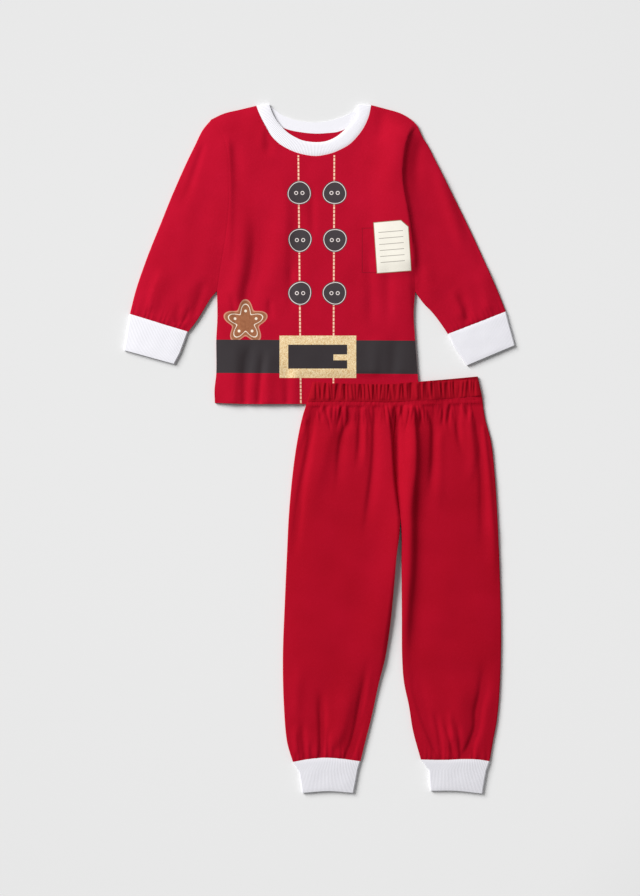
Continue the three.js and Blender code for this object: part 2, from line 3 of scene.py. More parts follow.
import bpy
import numpy as np
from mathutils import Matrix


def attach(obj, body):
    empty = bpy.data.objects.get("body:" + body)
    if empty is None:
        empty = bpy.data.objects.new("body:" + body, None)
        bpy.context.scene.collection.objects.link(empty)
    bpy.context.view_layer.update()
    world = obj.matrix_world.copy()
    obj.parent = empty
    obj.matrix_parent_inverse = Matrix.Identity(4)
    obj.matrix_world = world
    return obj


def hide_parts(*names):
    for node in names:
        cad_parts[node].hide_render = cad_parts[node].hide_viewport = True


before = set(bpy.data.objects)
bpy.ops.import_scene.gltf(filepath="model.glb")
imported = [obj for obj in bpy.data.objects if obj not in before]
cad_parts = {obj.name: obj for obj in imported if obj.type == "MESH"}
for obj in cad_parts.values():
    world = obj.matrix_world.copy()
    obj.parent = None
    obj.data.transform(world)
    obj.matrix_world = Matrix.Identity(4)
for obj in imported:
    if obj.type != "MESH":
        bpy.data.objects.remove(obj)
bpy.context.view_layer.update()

# The pale table that the set is laid on, seen from straight above. A large window up on the left
# lights it, so its paint is a little deeper there: it looks even from side to side.
TABLE_HALF = 4.0
TABLE_DROP = 0.0004
TABLE_PALE, TABLE_DEEPEST, TABLE_PALEST = 0.815, 0.62, 0.98
TABLE_FADE = 0.000256
FROM_WINDOW = (0.78, -0.63)
CENTRE = np.array([-1.0, -0.75])
PIXEL = 0.0014
PICTURE_ROWS = 896
CAMERA_HEIGHT = 2.5


class Yarn:
    """A socket of a material, with the arithmetic of its Math nodes."""

    def __init__(self, tree, socket):
        self.tree, self.socket = tree, socket

    def make(self, kind, settings=None, inputs=None, output=0):
        node = self.tree.nodes.new(kind)
        for name, value in (settings or {}).items():
            setattr(node, name, value)
        for name, value in (inputs or {}).items():
            if isinstance(value, Yarn):
                self.tree.links.new(value.socket, node.inputs[name])
            else:
                node.inputs[name].default_value = value
        return Yarn(self.tree, node.outputs[output])

    def maths(self, operation, *values, clamp=False):
        settings = {"operation": operation, "use_clamp": clamp}
        return self.make("ShaderNodeMath", settings, dict(enumerate(values)))

    def __add__(self, other):
        return self.maths("ADD", self, other)

    def __sub__(self, other):
        return self.maths("SUBTRACT", self, other)

    def __rsub__(self, other):
        return self.maths("SUBTRACT", other, self)

    def __mul__(self, other):
        return self.maths("MULTIPLY", self, other)

    def __truediv__(self, other):
        return self.maths("DIVIDE", self, other)

    def __mod__(self, other):
        return self.maths("FLOORED_MODULO", self, other)

    def __abs__(self):
        return self.maths("ABSOLUTE", self)

    __radd__, __rmul__ = __add__, __mul__

    def sine(self):
        return self.maths("SINE", self)

    def cosine(self):
        return self.maths("COSINE", self)

    def turn(self, up):
        """The turn, from straight up, of a place this far to the right and that far up."""
        return self.maths("ARCTAN2", self, up)

    def root(self):
        return self.maths("SQRT", self)

    def most(self, other):
        return self.maths("MAXIMUM", self, other)

    def least(self, other):
        return self.maths("MINIMUM", self, other)

    def inside(self, soft=0.25):
        """1 where a distance in millimetres is below 0, with an edge this soft."""
        return self.maths("MULTIPLY_ADD", self, -1 / soft, 0.5, clamp=True)

    def colour(self, under, over):
        """The colour under, painted over with another where this mask is 1."""
        inputs = {0: self, 6: under, 7: over}
        settings = {"data_type": "RGBA", "clamp_factor": True}
        return self.make("ShaderNodeMix", settings, inputs, output=2)

    def parts(self):
        """The x, y and z of a place in metres, in millimetres."""
        split = self.make("ShaderNodeSeparateXYZ", None, {0: self})
        return [Yarn(self.tree, split.socket.node.outputs[k]) * 1000 for k in range(3)]


def srgb(red, green, blue):
    """A colour as seen, 0 to 255, in Blender's linear light."""
    values = np.array([red, green, blue]) / 255
    linear = np.where(values <= 0.04045, values / 12.92, ((values + 0.055) / 1.055) ** 2.4)
    return (*linear.tolist(), 1.0)


table_mesh = bpy.data.meshes.new("table")
corners = [(-TABLE_HALF, -TABLE_HALF, 0), (TABLE_HALF, -TABLE_HALF, 0),
           (TABLE_HALF, TABLE_HALF, 0), (-TABLE_HALF, TABLE_HALF, 0)]
table_mesh.from_pydata(corners, [], [(0, 1, 2, 3)])
table = bpy.data.objects.new("table", table_mesh)
bpy.context.collection.objects.link(table)
table.location.z = -TABLE_DROP
table_paint = bpy.data.materials.new("table_paint")
table_paint.use_nodes = True
paint = table_paint.node_tree.nodes["Principled BSDF"]
paint.inputs["Roughness"].default_value = 0.9
paint.inputs["Specular IOR Level"].default_value = 0.1
maker = Yarn(table_paint.node_tree, None)
x, y, _ = maker.make("ShaderNodeTexCoord", output=3).parts()
paleness = (x * FROM_WINDOW[0] + y * FROM_WINDOW[1]) * TABLE_FADE + TABLE_PALE
paleness = paleness.least(TABLE_PALEST).most(TABLE_DEEPEST)
table_paint.node_tree.links.new(paleness.socket, paint.inputs["Base Color"])
table_mesh.materials.append(table_paint)

camera = bpy.data.objects.new("camera", bpy.data.cameras.new("camera"))
bpy.context.collection.objects.link(camera)
camera.location = (*(-CENTRE / 1000).tolist(), CAMERA_HEIGHT)
camera.data.sensor_fit = "VERTICAL"
camera.data.angle = 2 * math.atan(PICTURE_ROWS * PIXEL / 2 / CAMERA_HEIGHT)
bpy.context.scene.camera = camera

window = bpy.data.objects.new("window", bpy.data.lights.new("window", "AREA"))
bpy.context.collection.objects.link(window)
window.data.size = 3
window.data.energy = 393
window.location = (-3.3, 2.65, 2.9)
window.rotation_euler = (-window.location).to_track_quat("-Z", "Y").to_euler()
window.visible_camera = False

room = bpy.data.worlds.new("room")
bpy.context.scene.world = room
room.use_nodes = True
room.node_tree.nodes["Background"].inputs["Color"].default_value = (1, 1, 1, 1)
room.node_tree.nodes["Background"].inputs["Strength"].default_value = 0.24
bpy.context.scene.view_settings.view_transform = "Standard"

# The front: one panel of red single jersey, open at the hem. Its belt, buckle, buttons, two rows
# of chain stitch, star biscuit and note in a pocket are printed. It lies on the back, with a
# little air between, and all sizes are in millimetres.
GAP = 0.3
SEAM = 0.02
CAD_WALL = 1.5
CLOTH = 1.0
TOP_LOFT = 2.2
PRESSED_LOFT = 0.3
PRESSED_FROM_X, PRESSED_BELOW_Y, PRESSED_EDGE = -22, 96, 14
EDGE_ROLL = 11
SWELLS, CIRCLE = 9, 6.28
AIR_ROUNDING = 0.16
CREASE_REACH = 3.5
SHARP_ANGLE = math.radians(55)

SIDE_RIGHT = [(-147, 63), (-147.5, 81), (-145, 105), (-145, 151), (-143.5, 182), (-144, 220)]
SIDE_LEFT = [(138.5, 61), (137.5, 89.5), (135, 123), (132.5, 158), (131, 189), (133, 218.5)]
ARMHOLE_RIGHT = [
    (-144, 220), (-138.5, 256), (-131.5, 298), (-127.5, 337.5),
    (-127, 382), (-130, 417), (-137, 438), (-152.5, 459),
]
ARMHOLE_LEFT = [
    (133, 218.5), (131.5, 256), (130, 294), (125.5, 325), (119, 353),
    (116, 376.5), (115.5, 403), (119, 425.5), (137, 449.5),
]
HEM = [(-147, 63), (-98, 61.5), (-31, 61.5), (56, 60), (138.5, 61)]
SHOULDER_RIGHT = [(-152.5, 459), (-134.5, 467.5), (-112, 473), (-89, 478.5)]
SHOULDER_LEFT = [(71.5, 479.5), (92.5, 474), (113.5, 467.5), (129, 458), (137, 449.5)]
NECK_FRONT = [
    (-89, 478.5), (-84, 465), (-77, 451), (-68, 436), (-57.5, 425.5), (-46, 418.5),
    (-32, 412.5), (-17, 409), (-5, 408), (6.5, 409.5), (18, 412.5), (29.5, 417.5),
    (41.5, 424.5), (52, 435), (61, 447.5), (68, 463), (71.5, 479.5),
]
SLEEVE_RIGHT_OUTER = [
    (-152.5, 459), (-164, 445), (-175, 423), (-186, 400.5), (-206, 355.5),
    (-224, 311), (-242, 266), (-257.5, 221), (-266, 187.5),
]
SLEEVE_RIGHT_INNER = [
    (-144, 220), (-152.5, 210), (-159.5, 199), (-166.5, 187.5), (-173.5, 176.5), (-184.5, 162.5),
]
SLEEVE_LEFT_OUTER = [
    (137, 449.5), (144, 434), (151, 423), (162.5, 400.5), (185, 355.5),
    (207, 311), (228, 266), (248, 221), (260, 191),
]
SLEEVE_LEFT_INNER = [(133, 218.5), (144.5, 203), (157, 190), (170, 173), (179, 159.5)]

# height, width on its left and on its right, lengths of its fading ends, the places it runs through
TOP_CREASES = [
    (-1.2, 5, 6, 20, 60, [(-160.5, 431), (-170, 403), (-182.5, 364), (-198, 325)]),
    (1.3, 30, 5, 25, 60, [(-129, 442.5), (-126.5, 396), (-125.5, 333), (-127.5, 284),
                          (-131.5, 232.5)]),
    (-1.2, 6, 6, 20, 12, [(-159.5, 241), (-168, 210), (-179, 179)]),
    (1, 12, 9, 20, 12, [(-178, 241), (-186, 207), (-192, 176.5)]),
    (1.6, 7, 14, 30, 14, [(-213, 260.5), (-231, 221), (-239.5, 187.5)]),
    (-0.8, 5, 5, 14, 4, [(-195.5, 207), (-201, 172)]),
    (-0.8, 4, 4, 14, 4, [(-178, 201.5), (-192, 173.5)]),
    (-0.9, 6, 10, 25, 40, [(-119, 437), (-115, 382), (-110.5, 333)]),
    (3, 16, 12, 90, 40, [(-116, 353), (-108, 312), (-108, 277), (-112.5, 242), (-118.5, 207),
                         (-117.5, 176.5)]),
    (-2.6, 10, 20, 90, 40, [(-99.5, 361), (-91, 312), (-91, 277), (-95, 242), (-101, 214),
                            (-99.5, 176.5)]),
    (-1.3, 3.5, 4, 20, 16, [(-125, 221), (-120.5, 196), (-115, 158)]),
    (2.4, 22, 11, 60, 60, [(-61.5, 396), (-50.5, 347), (-50.5, 277), (-59, 207)]),
    (-1.2, 6, 6, 30, 30, [(-11, 375), (-10, 285.5)]),
    (-1.1, 6, 6, 20, 30, [(-40.5, 260.5), (-40.5, 179)]),
    (-1.2, 5, 6, 14, 20, [(-70.5, 213), (-69.5, 171)]),
    (1, 8, 8, 20, 20, [(-73, 462), (-82.5, 411.5)]),
    (-1.2, 6, 7, 16, 20, [(-77, 451), (-70, 403)]),
    (4.6, 36, 4.8, 22, 30, [(131.5, 456.5), (120.5, 431), (115, 403), (114, 372.5), (119.5, 339),
                            (124.5, 305), (129, 274.5), (130, 235)]),
    (5, 42, 23, 30, 130, [(129, 456.5), (117.5, 431), (112, 403), (111.5, 372.5), (117, 339),
                          (122, 305), (126, 274.5), (127.5, 235)]),
    (-1.3, 10, 9, 10, 26, [(88, 481.5), (85.5, 445), (78.5, 417)]),
    (-1.2, 8, 9, 24, 50, [(141.5, 437), (135, 403), (134.5, 361), (140, 326)]),
    (-1.3, 8, 8, 40, 40, [(66, 297), (70, 228), (70, 162.5)]),
    (1.6, 22, 6, 50, 40, [(119, 285.5), (124.5, 221), (127.5, 159.5)]),
    (-1.1, 7, 7, 36, 36, [(94.5, 260.5), (96, 165)]),
    (-2.6, 6, 6, 40, 6, [(-95, 157), (-103.5, 106.5), (-105, 59)]),
    (-2, 5, 5, 30, 6, [(-77.5, 143), (-84.5, 84), (-86, 59)]),
    (1.2, 14, 6, 30, 6, [(-117.5, 157), (-120.5, 59)]),
    (1.4, 8, 11, 34, 6, [(-68.5, 154), (-71.5, 109), (-73, 59)]),
    (-1.6, 6, 6, 20, 6, [(-46, 123), (-46, 59)]),
    (-1.4, 8, 8, 24, 10, [(105, 162.5), (102, 95)]),
    (1.2, 9, 8, 24, 10, [(77, 162.5), (75.5, 95)]),
    (1.8, 9, 9, 40, 40, [(159.5, 406), (180.5, 340), (199, 280), (201.5, 260.5)]),
    (-1.2, 9, 9, 40, 50, [(175.5, 378), (192.5, 347), (210.5, 308), (227.5, 270), (243, 235)]),
    (1.4, 10, 12, 20, 30, [(150, 260.5), (152.5, 221), (164, 199)]),
    (1.3, 9, 6, 20, 14, [(180.5, 224), (193, 199), (200, 176.5)]),
    (-1.7, 6, 7, 20, 10, [(190.5, 224), (204.5, 196), (206, 171)]),
    (1.4, 10, 12, 30, 14, [(222.5, 260.5), (232.5, 213), (235, 185)]),
]


def smooth_line(points, per_span=24):
    """Close places on the smooth line that a cutter would draw through the points."""
    p = np.array(points, float)
    p = np.vstack([2 * p[0] - p[1], p, 2 * p[-1] - p[-2]])
    d = np.sqrt(np.linalg.norm(np.diff(p, axis=0), axis=1))[:, None]
    a, b, c, e = p[:-3], p[1:-2], p[2:-1], p[3:]
    d0, d1, d2 = d[:-2], d[1:-1], d[2:]
    leave = ((b - a) / d0 - (c - a) / (d0 + d1) + (c - b) / d1) * d1
    arrive = ((c - b) / d1 - (e - b) / (d1 + d2) + (e - c) / d2) * d1
    t = np.linspace(0, 1, per_span, endpoint=False)[None, :, None]
    cubic = 2 * b - 2 * c + leave + arrive
    square = -3 * b + 3 * c - 2 * leave - arrive
    spans = b[:, None] + leave[:, None] * t + square[:, None] * t**2 + cubic[:, None] * t**3
    return np.vstack([spans.reshape(-1, 2), p[-2]])


def lengths(line):
    return np.r_[0, np.linalg.norm(np.diff(line, axis=0), axis=1).cumsum()]


def places(points, shares):
    """Places at these shares of a smooth line's length; a number asks for that many spans."""
    line = smooth_line(points)
    walked = lengths(line)
    if np.isscalar(shares):
        shares = np.linspace(0, 1, shares + 1)
    at = np.asarray(shares) * walked[-1]
    return np.stack([np.interp(at, walked, line[:, k]) for k in (0, 1)], axis=1)


def joined(*lines):
    return np.vstack([lines[0]] + [line[1:] for line in lines[1:]])


def patch(near, far, left, right, reach=1.0):
    """A grid between four lines; the left and right ones bend it over this share of its width."""
    share = lambda line: lengths(line) / lengths(line)[-1]
    across = ((share(near) + share(far)) / 2)[None, :, None]
    along = ((share(left) + share(right)) / 2)[:, None]
    straight = lambda k: near[k] * (1 - along) + far[k] * along
    grid = near[None] * (1 - along[:, None]) + far[None] * along[:, None]
    grid = grid + (left - straight(0))[:, None] * np.clip(1 - across / reach, 0, 1)
    return grid + (right - straight(-1))[:, None] * np.clip(1 - (1 - across) / reach, 0, 1)


def drawn_in(grid, *sides):
    """The grid with the named sides moved half a seam's width inwards."""
    turn = {
        "near": lambda g: g, "far": lambda g: g[::-1],
        "left": lambda g: g.swapaxes(0, 1), "right": lambda g: g.swapaxes(0, 1)[::-1],
    }
    grid = grid.copy()
    for side in sides:
        view = turn[side](grid)
        tangent = np.gradient(view[0], axis=0)
        normal = np.stack([-tangent[:, 1], tangent[:, 0]], axis=1)
        normal /= np.linalg.norm(normal, axis=1, keepdims=True)
        inward = np.sign(((view[1] - view[0]) * normal).sum())
        view[0] += normal * inward * SEAM / 2
    return grid


def nearest(x, y, line):
    """How far each place is from a line, how far along it lies, and on which side."""
    best = np.full(x.shape, np.inf)
    along, side = np.zeros(x.shape), np.zeros(x.shape)
    walked = lengths(line)
    for a, b, start in zip(line[:-1], line[1:], walked):
        step = b - a
        length = np.hypot(*step)
        t = np.clip(((x - a[0]) * step[0] + (y - a[1]) * step[1]) / length**2, 0, 1)
        away = np.hypot(x - a[0] - t * step[0], y - a[1] - t * step[1])
        across = step[0] * (y - a[1]) - step[1] * (x - a[0])
        along = np.where(away < best, start + t * length, along)
        side = np.where(away < best, across, side)
        best = np.minimum(best, away)
    return best, along, side


def ease(t):
    t = np.clip(t, 0, 1)
    return t * t * (3 - 2 * t)


def creased(x, y, creases):
    """The height that soft troughs and ridges add; each widens towards its longer fading end."""
    total = np.zeros(x.shape)
    for height, left, right, fade_in, fade_out, points in creases:
        line = np.array(points, float) if len(points) == 2 else smooth_line(points, 4)
        reach = CREASE_REACH * max(left, right)
        near = (x > line[:, 0].min() - reach) & (x < line[:, 0].max() + reach)
        near &= (y > line[:, 1].min() - reach) & (y < line[:, 1].max() + reach)
        if near.any():
            away, along, side = nearest(x[near], y[near], line)
            length = lengths(line)[-1]
            ends = ease(along / fade_in) * ease((length - along) / fade_out)
            spread = 1 + 0.3 * np.sign(fade_out - fade_in) * (2 * along / length - 1)
            width = np.where(side > 0, right, left) * spread
            total[near] += height * ends * np.exp(-((away / width) ** 2))
    return total


def lulls(x, y, seed, size):
    """Slow uneven swells of the cloth, between -1 and 1, about this many millimetres long."""
    draw = np.random.default_rng(seed)
    total = np.zeros(x.shape)
    for _ in range(SWELLS):
        turn, phase = draw.uniform(0, CIRCLE, 2).tolist()
        length = draw.uniform(0.7, 1.6) * size
        total += np.sin((x * math.cos(turn) + y * math.sin(turn)) * CIRCLE / length + phase)
    return total / SWELLS**0.5 / 1.5


def air(values):
    """Never less than no air at all under the cloth."""
    return 0.5 * (values + np.sqrt(values**2 + AIR_ROUNDING))


top_rims = [
    smooth_line(points, 6)
    for points in (SIDE_RIGHT, SIDE_LEFT, SHOULDER_RIGHT, SHOULDER_LEFT, SLEEVE_RIGHT_OUTER,
                   SLEEVE_RIGHT_INNER, SLEEVE_LEFT_OUTER, SLEEVE_LEFT_INNER)
]
top_seams = [smooth_line(points, 8) for points in (ARMHOLE_RIGHT, ARMHOLE_LEFT, NECK_FRONT)]


def rise(x, y, rims, roll=EDGE_ROLL):
    """How far the cloth is up from its rolled edges, 0 to 1."""
    away = np.min([nearest(x, y, line)[0] for line in rims], axis=0)
    return 1 - np.exp(-away / roll)


def seam_dip(x, y, seams, depth, width):
    """The small dip that the stitches of a seam pull."""
    away = np.min([nearest(x, y, line)[0] for line in seams], axis=0)
    return -depth * np.exp(-((away / width) ** 2))


def top_height(x, y, share=None):
    """The top's outer face: loose over the body and sleeves, pressed flat by the trousers."""
    loose = TOP_LOFT * rise(x, y, top_rims) + creased(x, y, TOP_CREASES)
    loose = air(loose + 0.3 * lulls(x, y, 3, 34) + seam_dip(x, y, top_seams, 0.15, 0.9))
    under = ease((x - PRESSED_FROM_X) / PRESSED_EDGE + 1)
    under = under * ease((PRESSED_BELOW_Y - y) / PRESSED_EDGE + 1)
    return 2 * CAD_WALL + GAP + loose + (PRESSED_LOFT - loose) * under


def sew(name, outer, inner, closed, grain):
    """One closed shell from rows of outer and inner places, in millimetres."""
    rows, count = outer.shape[:2]
    spans = count if closed else count - 1
    i, j = (a.ravel() for a in np.mgrid[0 : rows - 1, 0:spans])
    one = np.ones_like(i)
    corner = lambda di, dj, side: np.stack([i + di, j + dj, one * side], axis=1)
    faces = [
        np.stack([corner(0, 0, 0), corner(1, 0, 0), corner(1, 1, 0), corner(0, 1, 0)], axis=1),
        np.stack([corner(0, 0, 1), corner(0, 1, 1), corner(1, 1, 1), corner(1, 0, 1)], axis=1),
    ]
    k = np.arange(spans)
    rim = lambda a, b, side: np.stack([a, b, np.full_like(a, side)], axis=1)
    for row, (p, q) in ((0, (0, 1)), (rows - 1, (1, 0))):
        r = np.full_like(k, row)
        faces.append(np.stack([rim(r, k + p, 0), rim(r, k + q, 0), rim(r, k + q, 1),
                               rim(r, k + p, 1)], axis=1))
    if not closed:
        k = np.arange(rows - 1)
        for column, (p, q) in ((0, (1, 0)), (count - 1, (0, 1))):
            c = np.full_like(k, column)
            faces.append(np.stack([rim(k + p, c, 0), rim(k + q, c, 0), rim(k + q, c, 1),
                                   rim(k + p, c, 1)], axis=1))
    faces = np.concatenate(faces)
    index = faces[..., 2] * rows * count + faces[..., 0] * count + faces[..., 1] % count
    verts = np.concatenate([outer.reshape(-1, 3), inner.reshape(-1, 3)])
    verts[:, :2] -= CENTRE
    verts /= 1000
    a, b, c, d = (verts[index[:, n]] for n in range(4))
    volume = (a * np.cross(b, c)).sum() + (a * np.cross(c, d)).sum()
    if volume < 0:
        index, faces = index[:, ::-1], faces[:, ::-1]
    mesh = bpy.data.meshes.new(name)
    mesh.from_pydata(verts, [], index.tolist())
    mesh.shade_smooth()
    mesh.set_sharp_from_angle(angle=SHARP_ANGLE)
    across = np.concatenate([grain[0], [2 * grain[0][-1] - grain[0][-2]]])
    uv = np.stack([across[faces[..., 1]], grain[1][faces[..., 0]]], axis=-1) / 1000
    mesh.uv_layers.new(name="grain").data.foreach_set("uv", uv.astype(np.float32).ravel())
    piece = bpy.data.objects.new(name, mesh)
    bpy.context.collection.objects.link(piece)
    return piece


def faces_of(plan, height, wall=CLOTH, share=None):
    """The outer and inner face of a layer: a wall's thickness apart, upwards or downwards."""
    z = height(plan[..., 0], plan[..., 1], share)
    outer = np.concatenate([plan, z[..., None]], axis=-1)
    inner = outer.copy()
    inner[..., 2] -= wall
    return outer, inner


def row_lengths(grid):
    """A grid's grain: millimetres across from its middle row and along from its middle column."""
    return lengths(grid[len(grid) // 2]), lengths(grid[:, grid.shape[1] // 2])


def panel(neck, neck_spans, shoulder_spans, side_spans, armhole_spans):
    """The plan of the front or the back, from the hem up to the shoulders and the neck."""
    right, left = shoulder_spans
    edge = joined(
        places(SHOULDER_RIGHT, right), places(neck, neck_spans), places(SHOULDER_LEFT, left),
    )
    across = np.clip((edge[:, 0] - edge[0, 0]) / (edge[-1, 0] - edge[0, 0]), 0, 1)
    plan = patch(
        places(HEM, across), edge,
        joined(places(SIDE_RIGHT, side_spans), places(ARMHOLE_RIGHT, armhole_spans)),
        joined(places(SIDE_LEFT, side_spans), places(ARMHOLE_LEFT, armhole_spans)), reach=0.22,
    )
    return drawn_in(plan, "far", "left", "right")


front_plan = panel(
    NECK_FRONT, neck_spans=110, shoulder_spans=(26, 28), side_spans=78, armhole_spans=118,
)
front_outer, front_inner = faces_of(front_plan, top_height)
front = sew("front_panel", front_outer, front_inner, False, row_lengths(front_plan))

WALE, COURSE = 0.9, 0.75
JERSEY_ROUGHNESS, SHEEN = 0.85, 0.1


def new_finish(name, roughness, tint=(1, 1, 1, 1)):
    """A cloth finish: its material, its place on the object and its grain."""
    finish = bpy.data.materials.new(name)
    finish.use_nodes = True
    shader = finish.node_tree.nodes["Principled BSDF"]
    shader.inputs["Roughness"].default_value = roughness
    shader.inputs["Specular IOR Level"].default_value = 0.08
    shader.inputs["Sheen Weight"].default_value = SHEEN
    shader.inputs["Sheen Roughness"].default_value = 0.6
    shader.inputs["Sheen Tint"].default_value = tint
    maker = Yarn(finish.node_tree, None)
    place = maker.make("ShaderNodeTexCoord", output=3)
    grain = Yarn(finish.node_tree, place.socket.node.outputs[2])
    return finish, place, grain


def dress(finish, **links):
    """Joins what was worked out to the named sockets of the finish."""
    shader = finish.node_tree.nodes["Principled BSDF"]
    for name, yarn in links.items():
        finish.node_tree.links.new(yarn.socket, shader.inputs[name.replace("_", " ")])


def knitted(grain):
    """Single jersey's small slanted stitches, as a bump."""
    across, along, _ = grain.parts()
    slant = abs((across / WALE) % 1 - 0.5) * WALE
    stitch = ((along + slant) * (2 * math.pi / COURSE)).sine()
    column = (across * (2 * math.pi / WALE)).sine()
    height = stitch * 0.25 + column * 0.25 + 0.5
    inputs = {"Strength": 0.35, "Distance": 0.0003, "Height": height}
    return grain.make("ShaderNodeBump", None, inputs)


def mottled(place, colour, lighter, darker):
    """Dyed cloth is never one flat tone."""
    cloud = place.make("ShaderNodeTexNoise", None, {"Vector": place, "Scale": 16, "Detail": 4})
    speck = place.make("ShaderNodeTexNoise", None, {"Vector": place, "Scale": 700, "Detail": 2})
    toned = ((cloud - 0.35) * 2).colour(darker, colour)
    return ((speck - 0.5) * 1.2).colour(toned, lighter)


RED = srgb(185, 9, 43)
RED_DARK = srgb(176, 6, 37)
RED_LIGHT = srgb(197, 22, 56)
RED_SHEEN = srgb(255, 60, 100)

INKS = {
    "belt": srgb(54, 53, 55), "button": srgb(66, 63, 66), "button_line": srgb(240, 230, 226),
    "chain": srgb(252, 208, 178), "icing": srgb(244, 232, 214), "biscuit_rim": srgb(202, 142, 118),
    "pocket": srgb(96, 12, 26), "paper": srgb(240, 236, 224), "paper_edge": srgb(150, 120, 98),
    "rule": srgb(128, 122, 116),
}
BELT_Y, BELT_HALF, BELT_LEAN = 127.4, 23.3, 0.0052
# middle and half width, then middle and half height
BUCKLE, SLOT = (-3, 53.6, 127.5, 29.5), (-3.2, 41.2, 127.6, 16.7)
PRONG, POCKET = (28.4, 9.6, 126.6, 4.1), (91, 32, 276, 31)
CHAINS = ((-28.6, 0.010), (19.3, -0.004))
CHAIN_PITCH, CHAIN_DASH, CHAIN_HALF, CHAIN_TOP, CHAIN_MIDDLE = 5.2, 2, 1.1, 409, 240
STAR_X, STAR_Y, STAR_RADIUS, STAR_ARMS, ARM_REACH = -104, 176, 24, 5, 6
ICING_INSET, ICING_HALF, DOT_OUT, DOT_RADIUS, RIM_WIDTH = 5, 0.7, 15.5, 1.9, 2
NOTE_X, NOTE_Y, NOTE_TILT, NOTE_HALF, NOTE_CUT = 101, 281, 0.07, (23.5, 35), 49
RULE_PITCH, RULE_HALF, RULED_HALF = 8.4, 0.45, (17, 25.2)
BUTTON_ROWS, BUTTON_COLUMNS = (356.3, 290.5, 216.3), ((-28.9, -27.9, -27.9), (20.4, 20.9, 20.4))
BUTTON_RADIUS, LINE_RADIUS, LINE_HALF = 16.9, 15.3, 0.45
HOLE_OUT, HOLE_RADIUS, HOLE_HALF = 4.4, 2.2, 0.5

print_finish, place, grain = new_finish("printed_jersey", JERSEY_ROUGHNESS, RED_SHEEN)
x, y, _ = place.parts()
x, y = x + CENTRE[0], y + CENTRE[1]


def oblong(middle_x, half_width, middle_y, half_height):
    """The distance outside an upright oblong of the print."""
    return (abs(x - middle_x) - half_width).most(abs(y - middle_y) - half_height)


def from_middle(across, up):
    """The distance of a place this far to the side and this far up."""
    return (across * across + up * up).root()


print_cloth = mottled(place, RED, RED_LIGHT, RED_DARK)
dash = abs((y / CHAIN_PITCH) % 1 - 0.5) * CHAIN_PITCH - CHAIN_DASH
for line_x, lean in CHAINS:
    row = abs(x - line_x + (y - CHAIN_MIDDLE) * lean) - CHAIN_HALF
    chain = row.most(dash).inside(0.5) * (y - CHAIN_TOP).inside()
    print_cloth = chain.colour(print_cloth, INKS["chain"])
dx, dy = x - STAR_X, y - STAR_Y
star_r, star_turn = from_middle(dx, dy), dx.turn(dy)
star = star_r - STAR_RADIUS - (star_turn * STAR_ARMS).cosine() * ARM_REACH
half_arm = math.pi / STAR_ARMS
arm_turn = (star_turn + half_arm) % (2 * half_arm) - half_arm
dots = from_middle(arm_turn.sine() * star_r, arm_turn.cosine() * star_r - DOT_OUT) - DOT_RADIUS
icing = (abs(star + ICING_INSET) - ICING_HALF).least(dots).inside(0.5)
crumb = place.make("ShaderNodeTexNoise", None, {"Vector": place, "Scale": 260, "Detail": 3})
biscuit = crumb.colour(srgb(136, 82, 54), srgb(176, 118, 84))
print_cloth = (star - RIM_WIDTH).inside().colour(print_cloth, INKS["biscuit_rim"])
print_cloth = star.inside().colour(print_cloth, biscuit)
print_cloth = icing.colour(print_cloth, INKS["icing"])
pocket = abs(oblong(*POCKET)) - 0.4
print_cloth = (pocket.inside(0.6) * 0.6).colour(print_cloth, INKS["pocket"])
note_x = x - NOTE_X + (y - NOTE_Y) * NOTE_TILT
note_y = y - NOTE_Y - (x - NOTE_X) * NOTE_TILT
cut_corner = (note_x + note_y - NOTE_CUT) * 0.707
note = (abs(note_x) - NOTE_HALF[0]).most(abs(note_y) - NOTE_HALF[1]).most(cut_corner)
rule = abs((note_y / RULE_PITCH) % 1 - 0.5) * RULE_PITCH - RULE_HALF
rule = rule.most(abs(note_x + 1) - RULED_HALF[0]).most(abs(note_y + 1) - RULED_HALF[1])
print_cloth = (note - 0.9).inside().colour(print_cloth, INKS["paper_edge"])
print_cloth = note.inside().colour(print_cloth, INKS["paper"])
print_cloth = (rule.inside(0.5) * 0.8).colour(print_cloth, INKS["rule"])
belt = (abs(y - BELT_Y + x * BELT_LEAN) - BELT_HALF).inside()
print_cloth = belt.colour(print_cloth, INKS["belt"])
# Gold ink with glitter flakes in it; its palest specks are painted glints of the flakes.
glitter = place.make("ShaderNodeTexVoronoi", None, {"Vector": place, "Scale": 900}, output=1)
flakes_and_painted_glints = place.make("ShaderNodeRGBToBW", None, {0: glitter})
gilt_with_painted_glints = flakes_and_painted_glints.colour(srgb(206, 164, 104), srgb(255, 238, 196))
gold = oblong(*BUCKLE).most((0 - oblong(*SLOT)).least(oblong(*PRONG))).inside()
print_cloth = gold.colour(print_cloth, gilt_with_painted_glints)
for column in BUTTON_COLUMNS:
    for button_x, button_y in zip(column, BUTTON_ROWS):
        dx, dy = x - button_x, y - button_y
        turn = dx.turn(dy)
        uneven = (turn * 3 + button_y).sine() * 0.4 + (turn * 2 + button_x).sine() * 0.25
        radius = from_middle(dx, dy) + uneven
        print_cloth = (radius - BUTTON_RADIUS).inside().colour(print_cloth, INKS["button"])
        line = (abs(radius - LINE_RADIUS) - LINE_HALF).inside(0.4)
        holes = abs(from_middle(abs(dx) - HOLE_OUT, dy) - HOLE_RADIUS) - HOLE_HALF
        print_cloth = line.most(holes.inside(0.4)).colour(print_cloth, INKS["button_line"])
dress(print_finish, Base_Color=print_cloth, Normal=knitted(grain))
front.data.materials.append(print_finish)
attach(front, "root")
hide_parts("top_front")

